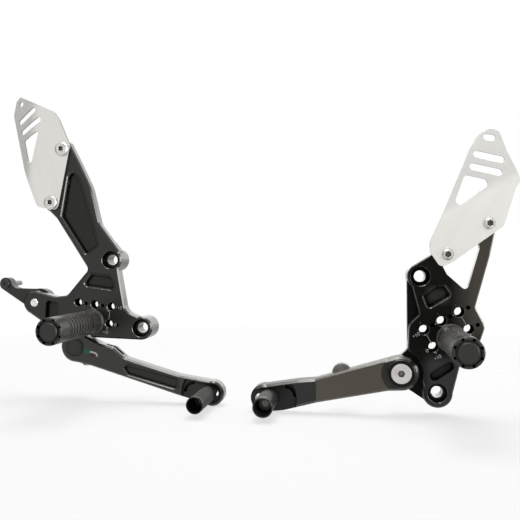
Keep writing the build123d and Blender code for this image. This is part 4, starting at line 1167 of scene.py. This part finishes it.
@dataclass(frozen=True)
class Card:
    """Upright panel beside or behind the camera that only reflections show.

    Args:
        name: name of the panel.
        start: X and Y of one upright side in metres.
        end: X and Y of the other upright side.
        low: height of its lower side.
        high: height of its upper side.
        shade: brightness of its face, where 1 is the white of the surroundings.
        uneven: share by which the cloth's brightness varies.
    """

    name: str
    start: Point
    end: Point
    low: float
    high: float
    shade: float
    uneven: float = 0.15

    def build(self) -> None:
        """Makes the panel with a faintly uneven cloth."""
        corners = [(*self.start, self.low), (*self.end, self.low), (*self.end, self.high),
                   (*self.start, self.high)]
        panel = add_mesh(self.name, np.array(corners), [[0, 1, 2, 3]])
        panel.visible_camera = False
        panel.visible_diffuse = False
        panel.visible_shadow = False
        graph = Graph(f"{self.name}_cloth")
        cloth = graph.noise(graph.place, scale=6.0)
        least, most = (1 - self.uneven) * self.shade, (1 + self.uneven) * self.shade
        graph.fill(graph.shader, {"Base Color": rgba(NIGHT), "Specular IOR Level": 0.0,
                                  "Emission Color": rgba(WHITE),
                                  "Emission Strength": graph.spread(cloth, least, most)})
        panel.data.materials.append(graph.material)
        panel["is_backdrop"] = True


@dataclass(frozen=True)
class Studio:
    """White floor and surroundings, soft lamps and the photograph's camera.

    Args:
        ambient: strength of the surroundings on matt surfaces.
        floor_reach: radius over which the floor fades into the surroundings, in metres.
        floor_full: share of that radius up to which the floor covers in full.
        floor_white: colour of the floor.
        floor_speck: share of that colour in the floor's faint specks.
        floor_cover: how far the floor covers the white behind it, so that shadows stay pale.
        eye: camera's place in metres.
        yaw: camera's turn to the left in degrees.
        lens: focal length in millimetres on the sensor.
        sensor: width of the sensor in millimetres.
        lamps: soft lights round the set.
        cards: panels that darken reflections.
    """

    ambient: float = 0.4
    floor_reach: float = 0.75
    floor_full: float = 0.35
    floor_white: Triple = (0.97, 0.97, 0.97)
    floor_speck: float = 0.985
    floor_cover: float = 0.33
    eye: Triple = (0.2116, -0.5466, 0.0)
    yaw: float = 8.7
    lens: float = 44.3
    sensor: float = 36.0
    lamps: tuple[Lamp, ...] = (
        Lamp("overhead", (0.12, 0.15, 1.05), 0.8, 0.6, 6.0, mirrored_only=False),
        Lamp("top_strip", (-0.02, -0.18, 1.05), 1.4, 0.16, 8.0, SHEETS),
        Lamp("right_front", (1.00, -0.55, 0.15), 0.45, 0.7, 8.0, (*BRIGHT, "brake_lever")),
        Lamp("right", (1.25, 0.10, 0.12), 0.45, 0.5, 5.0, BRIGHT),
        Lamp("back", (0.10, 2.00, 0.66), 3.2, 1.1, 1.0, (*SHEETS, "shift_lever")),
        Lamp("right_back", (0.55, 1.00, 0.10), 0.4, 0.5, 0.5, SHEETS),
    )
    cards: tuple[Card, ...] = (
        Card("dark_card", (0.19, -1.2), (0.42, -1.2), -0.5, -0.06, 0.02),
        Card("grey_card", (-1.1, -0.9), (-1.1, 0.1), -0.3, 0.6, 0.5),
        Card("left_card", (-1.1, 0.1), (-1.1, 0.9), -0.3, 0.7, 0.04),
        Card("high_card", (-0.5, -1.2), (0.6, -1.2), 0.7, 1.7, 0.6),
    )

    def world(self) -> None:
        """White where seen or mirrored, and plain ambient light on matt surfaces."""
        world = bpy.data.worlds.new("studio")
        bpy.context.scene.world = world
        world.use_nodes = True
        nodes = Nodes(world.node_tree)
        rays = nodes.add("ShaderNodeLightPath", {})
        seen = rays["Is Camera Ray"]
        for kind in ("Is Glossy Ray", "Is Transmission Ray"):
            seen = nodes.math("MAXIMUM", seen, rays[kind])
        strength = nodes.spread(seen, self.ambient, 1.0, 0.0, 1.0)
        light = nodes.add("ShaderNodeBackground", {"Color": rgba(WHITE), "Strength": strength})
        nodes.add("ShaderNodeOutputWorld", {"Surface": light["Background"]})

    def floor(self, middle: Array, level: float) -> None:
        """White floor under the set that fades out with distance and keeps the shadow.

        Args:
            middle: middle of the object.
            level: height of the floor.
        """
        foot = np.array([middle[0], middle[1], level])
        past_fade = 1.2
        half = past_fade * self.floor_reach
        corners = np.array([[-1, -1, 0], [1, -1, 0], [1, 1, 0], [-1, 1, 0]]) * half + foot
        floor = add_mesh("floor", corners, [[0, 1, 2, 3]])
        graph = Graph("floor_white")
        centred = graph.add("ShaderNodeMapping", {"Vector": graph.place, "Location": tuple(-foot)})["Vector"]
        distance = graph.add("ShaderNodeVectorMath", {0: centred}, operation="LENGTH")["Value"]
        full = self.floor_full * self.floor_reach
        cover = graph.spread(distance, self.floor_cover, 0.0, full, self.floor_reach)
        speck = graph.spread(graph.noise(graph.place, scale=900.0), 0.0, 1.0)
        colour = graph.blend(speck, rgba(self.floor_white, self.floor_speck), rgba(self.floor_white))
        graph.fill(graph.shader, {"Base Color": colour, "Roughness": 0.9, "Specular IOR Level": 0.1,
                                  "Alpha": cover})
        floor.data.materials.append(graph.material)
        floor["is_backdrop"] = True

    def camera(self) -> None:
        """Level camera that stands where the photograph was taken from."""
        data = bpy.data.cameras.new("photo_camera")
        data.lens = self.lens
        data.sensor_width = self.sensor
        data.clip_start = 0.01
        camera = in_scene("photo_camera", data)
        camera.location = self.eye
        camera.rotation_euler = (math.radians(90), 0.0, math.radians(self.yaw))
        bpy.context.scene.camera = camera

    def build(self, low: Array, high: Array) -> None:
        """Sets up everything round the object.

        Args:
            low: lowest corner of the object.
            high: highest corner of the object.
        """
        middle = (low + high) / 2
        self.world()
        self.floor(middle, float(low[2]))
        self.camera()
        for lamp in self.lamps:
            lamp.build(middle)
        for card in self.cards:
            card.build()
        bpy.context.scene.view_settings.view_transform = "Standard"


BRAKE_PEG = (-16.0, -53.5)
SHIFT_PEG = (23.0, -47.6)
PEGS = (
    KnurledPeg("brake_knurled_peg", "brake_foot_peg", BRAKE_SIDE, Body.HANGERS, PEG_GREY, (BRAKE_PEG,)),
    KnurledPeg("shift_knurled_peg", "shift_foot_peg", SHIFT_SIDE, Body.HANGERS, PEG_GREY, (SHIFT_PEG,)),
)
BRAKE_HOLES = ((-30.9, -51.8), (-29.2, -36.9), (-14.3, -38.6), (0.6, -40.3), (-1.1, -55.2))
SHIFT_HOLES = ((9.8, -54.6), (2.7, -41.4), (16.0, -34.4), (29.2, -27.3), (36.2, -40.6))
THREADS = (
    ThreadedHoles("brake_grid_threads", None, BRAKE_SIDE, Body.HANGERS, HOLE_BLACK, BRAKE_HOLES,
                  radius=3.32, front=-1.0, back=-9.6),
    ThreadedHoles("shift_grid_threads", None, SHIFT_SIDE, Body.HANGERS, HOLE_BLACK, SHIFT_HOLES,
                  radius=3.92, front=-1.0, back=-15.6),
)
TOES = (
    ToeTube("brake_toe_tube", "brake_toe_peg", BRAKE_SIDE, Body.BRAKE_LEVER, TOE_BLACK, ((87.2, -112.0),),
            radius=6.8, length=48.0, web=22.0),
    ToeTube("shift_toe_tube", "shift_toe_peg", SHIFT_SIDE, Body.SHIFT_LEVER, CAP_GREY, ((-119.0, -98.6),),
            radius=7.8, length=33.5, web=14.0),
)
STUD = ThreadedStud("shift_rod_thread", "shift_rod_stud", SHIFT_SIDE, Body.SHIFT_LEVER, STEEL,
                    ((-60.6, -78.6),),
                    outline=((-31.0, 2.5), (-30.5, 3.0), (-17.0, 3.0), (-17.0, 2.5), (-3.0, 2.5)),
                    thread=(-30.5, -18.5))
SCREWS = (
    ButtonScrews("brake_button_screws", "brake_guard_screws", BRAKE_SIDE, Body.HANGERS, SCREW_STEEL,
                 ((-43.0, 96.5), (-53.0, 50.0)), low=-8.0, seat=2.0, head_radius=6.2, head=3.4),
    ButtonScrews("shift_button_screws", "shift_guard_screws", SHIFT_SIDE, Body.HANGERS, SCREW_STEEL,
                 ((51.0, 40.6), (20.2, 17.0)), low=-9.5, seat=2.8, head_radius=4.4, head=3.0),
)
MARKS = (
    PegMarks(BRAKE_SIDE, "brake", BRAKE_PEG, -6.5, Gap.BEFORE,
             figures=(("+10", (7.7, -41.0), (4.6, -40.7)), ("0", (4.9, -55.9), (2.9, -55.6)),
                      ("+10", (-4.6, -62.3), (-2.6, -59.0))),
             lines=(((-3.4, -41.6), (-2.3, -43.8), (-0.2, -45.0), (-0.6, -48.0), (-1.1, -51.2)),)),
    PegMarks(SHIFT_SIDE, "shift", SHIFT_PEG, 28.0, Gap.AFTER,
             figures=(("+10", (-3.3, -45.6), (-0.7, -43.2)), ("0", (5.0, -57.6), (6.4, -56.6)),
                      ("+10", (13.0, -62.6), (11.5, -58.2))),
             lines=(((5.0, -45.8), (8.4, -52.0)), ((31.3, -31.6), (34.8, -38.2)))),
)
STRIPE = (
    Field(GREEN_INK, ((-22.9, -78.4), (-17.6, -79.5)), 3.9),
    Field(PALE_INK, ((-17.4, -79.2), (-15.4, -79.6), (-12.8, -80.4), (-11.3, -81.3), (-10.9, -82.3),
                     (-11.2, -83.4)), 1.5),
    Field(RED_INK, ((-17.3, -81.4), (-15.0, -82.0), (-12.8, -82.8)), 2.0),
)


def main() -> None:
    """Loads the frame, builds and dresses the pieces in order, and sets the scene."""
    logging.basicConfig(level=logging.INFO)
    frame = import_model()
    low, high = (np.array(corner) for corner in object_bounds())
    paint = Paintbox()
    paint.coat_nodes(frame["nodes"])
    for part in (*PEGS, *TOES, *THREADS, *SCREWS, STUD, *MARKS, *STRIPE):
        part.build(paint)
    Studio().build(low, high)
    LOG.info("dressed %d nodes with %d materials", len(frame["nodes"]), len(paint.made))


if __name__ == "__main__":
    main()
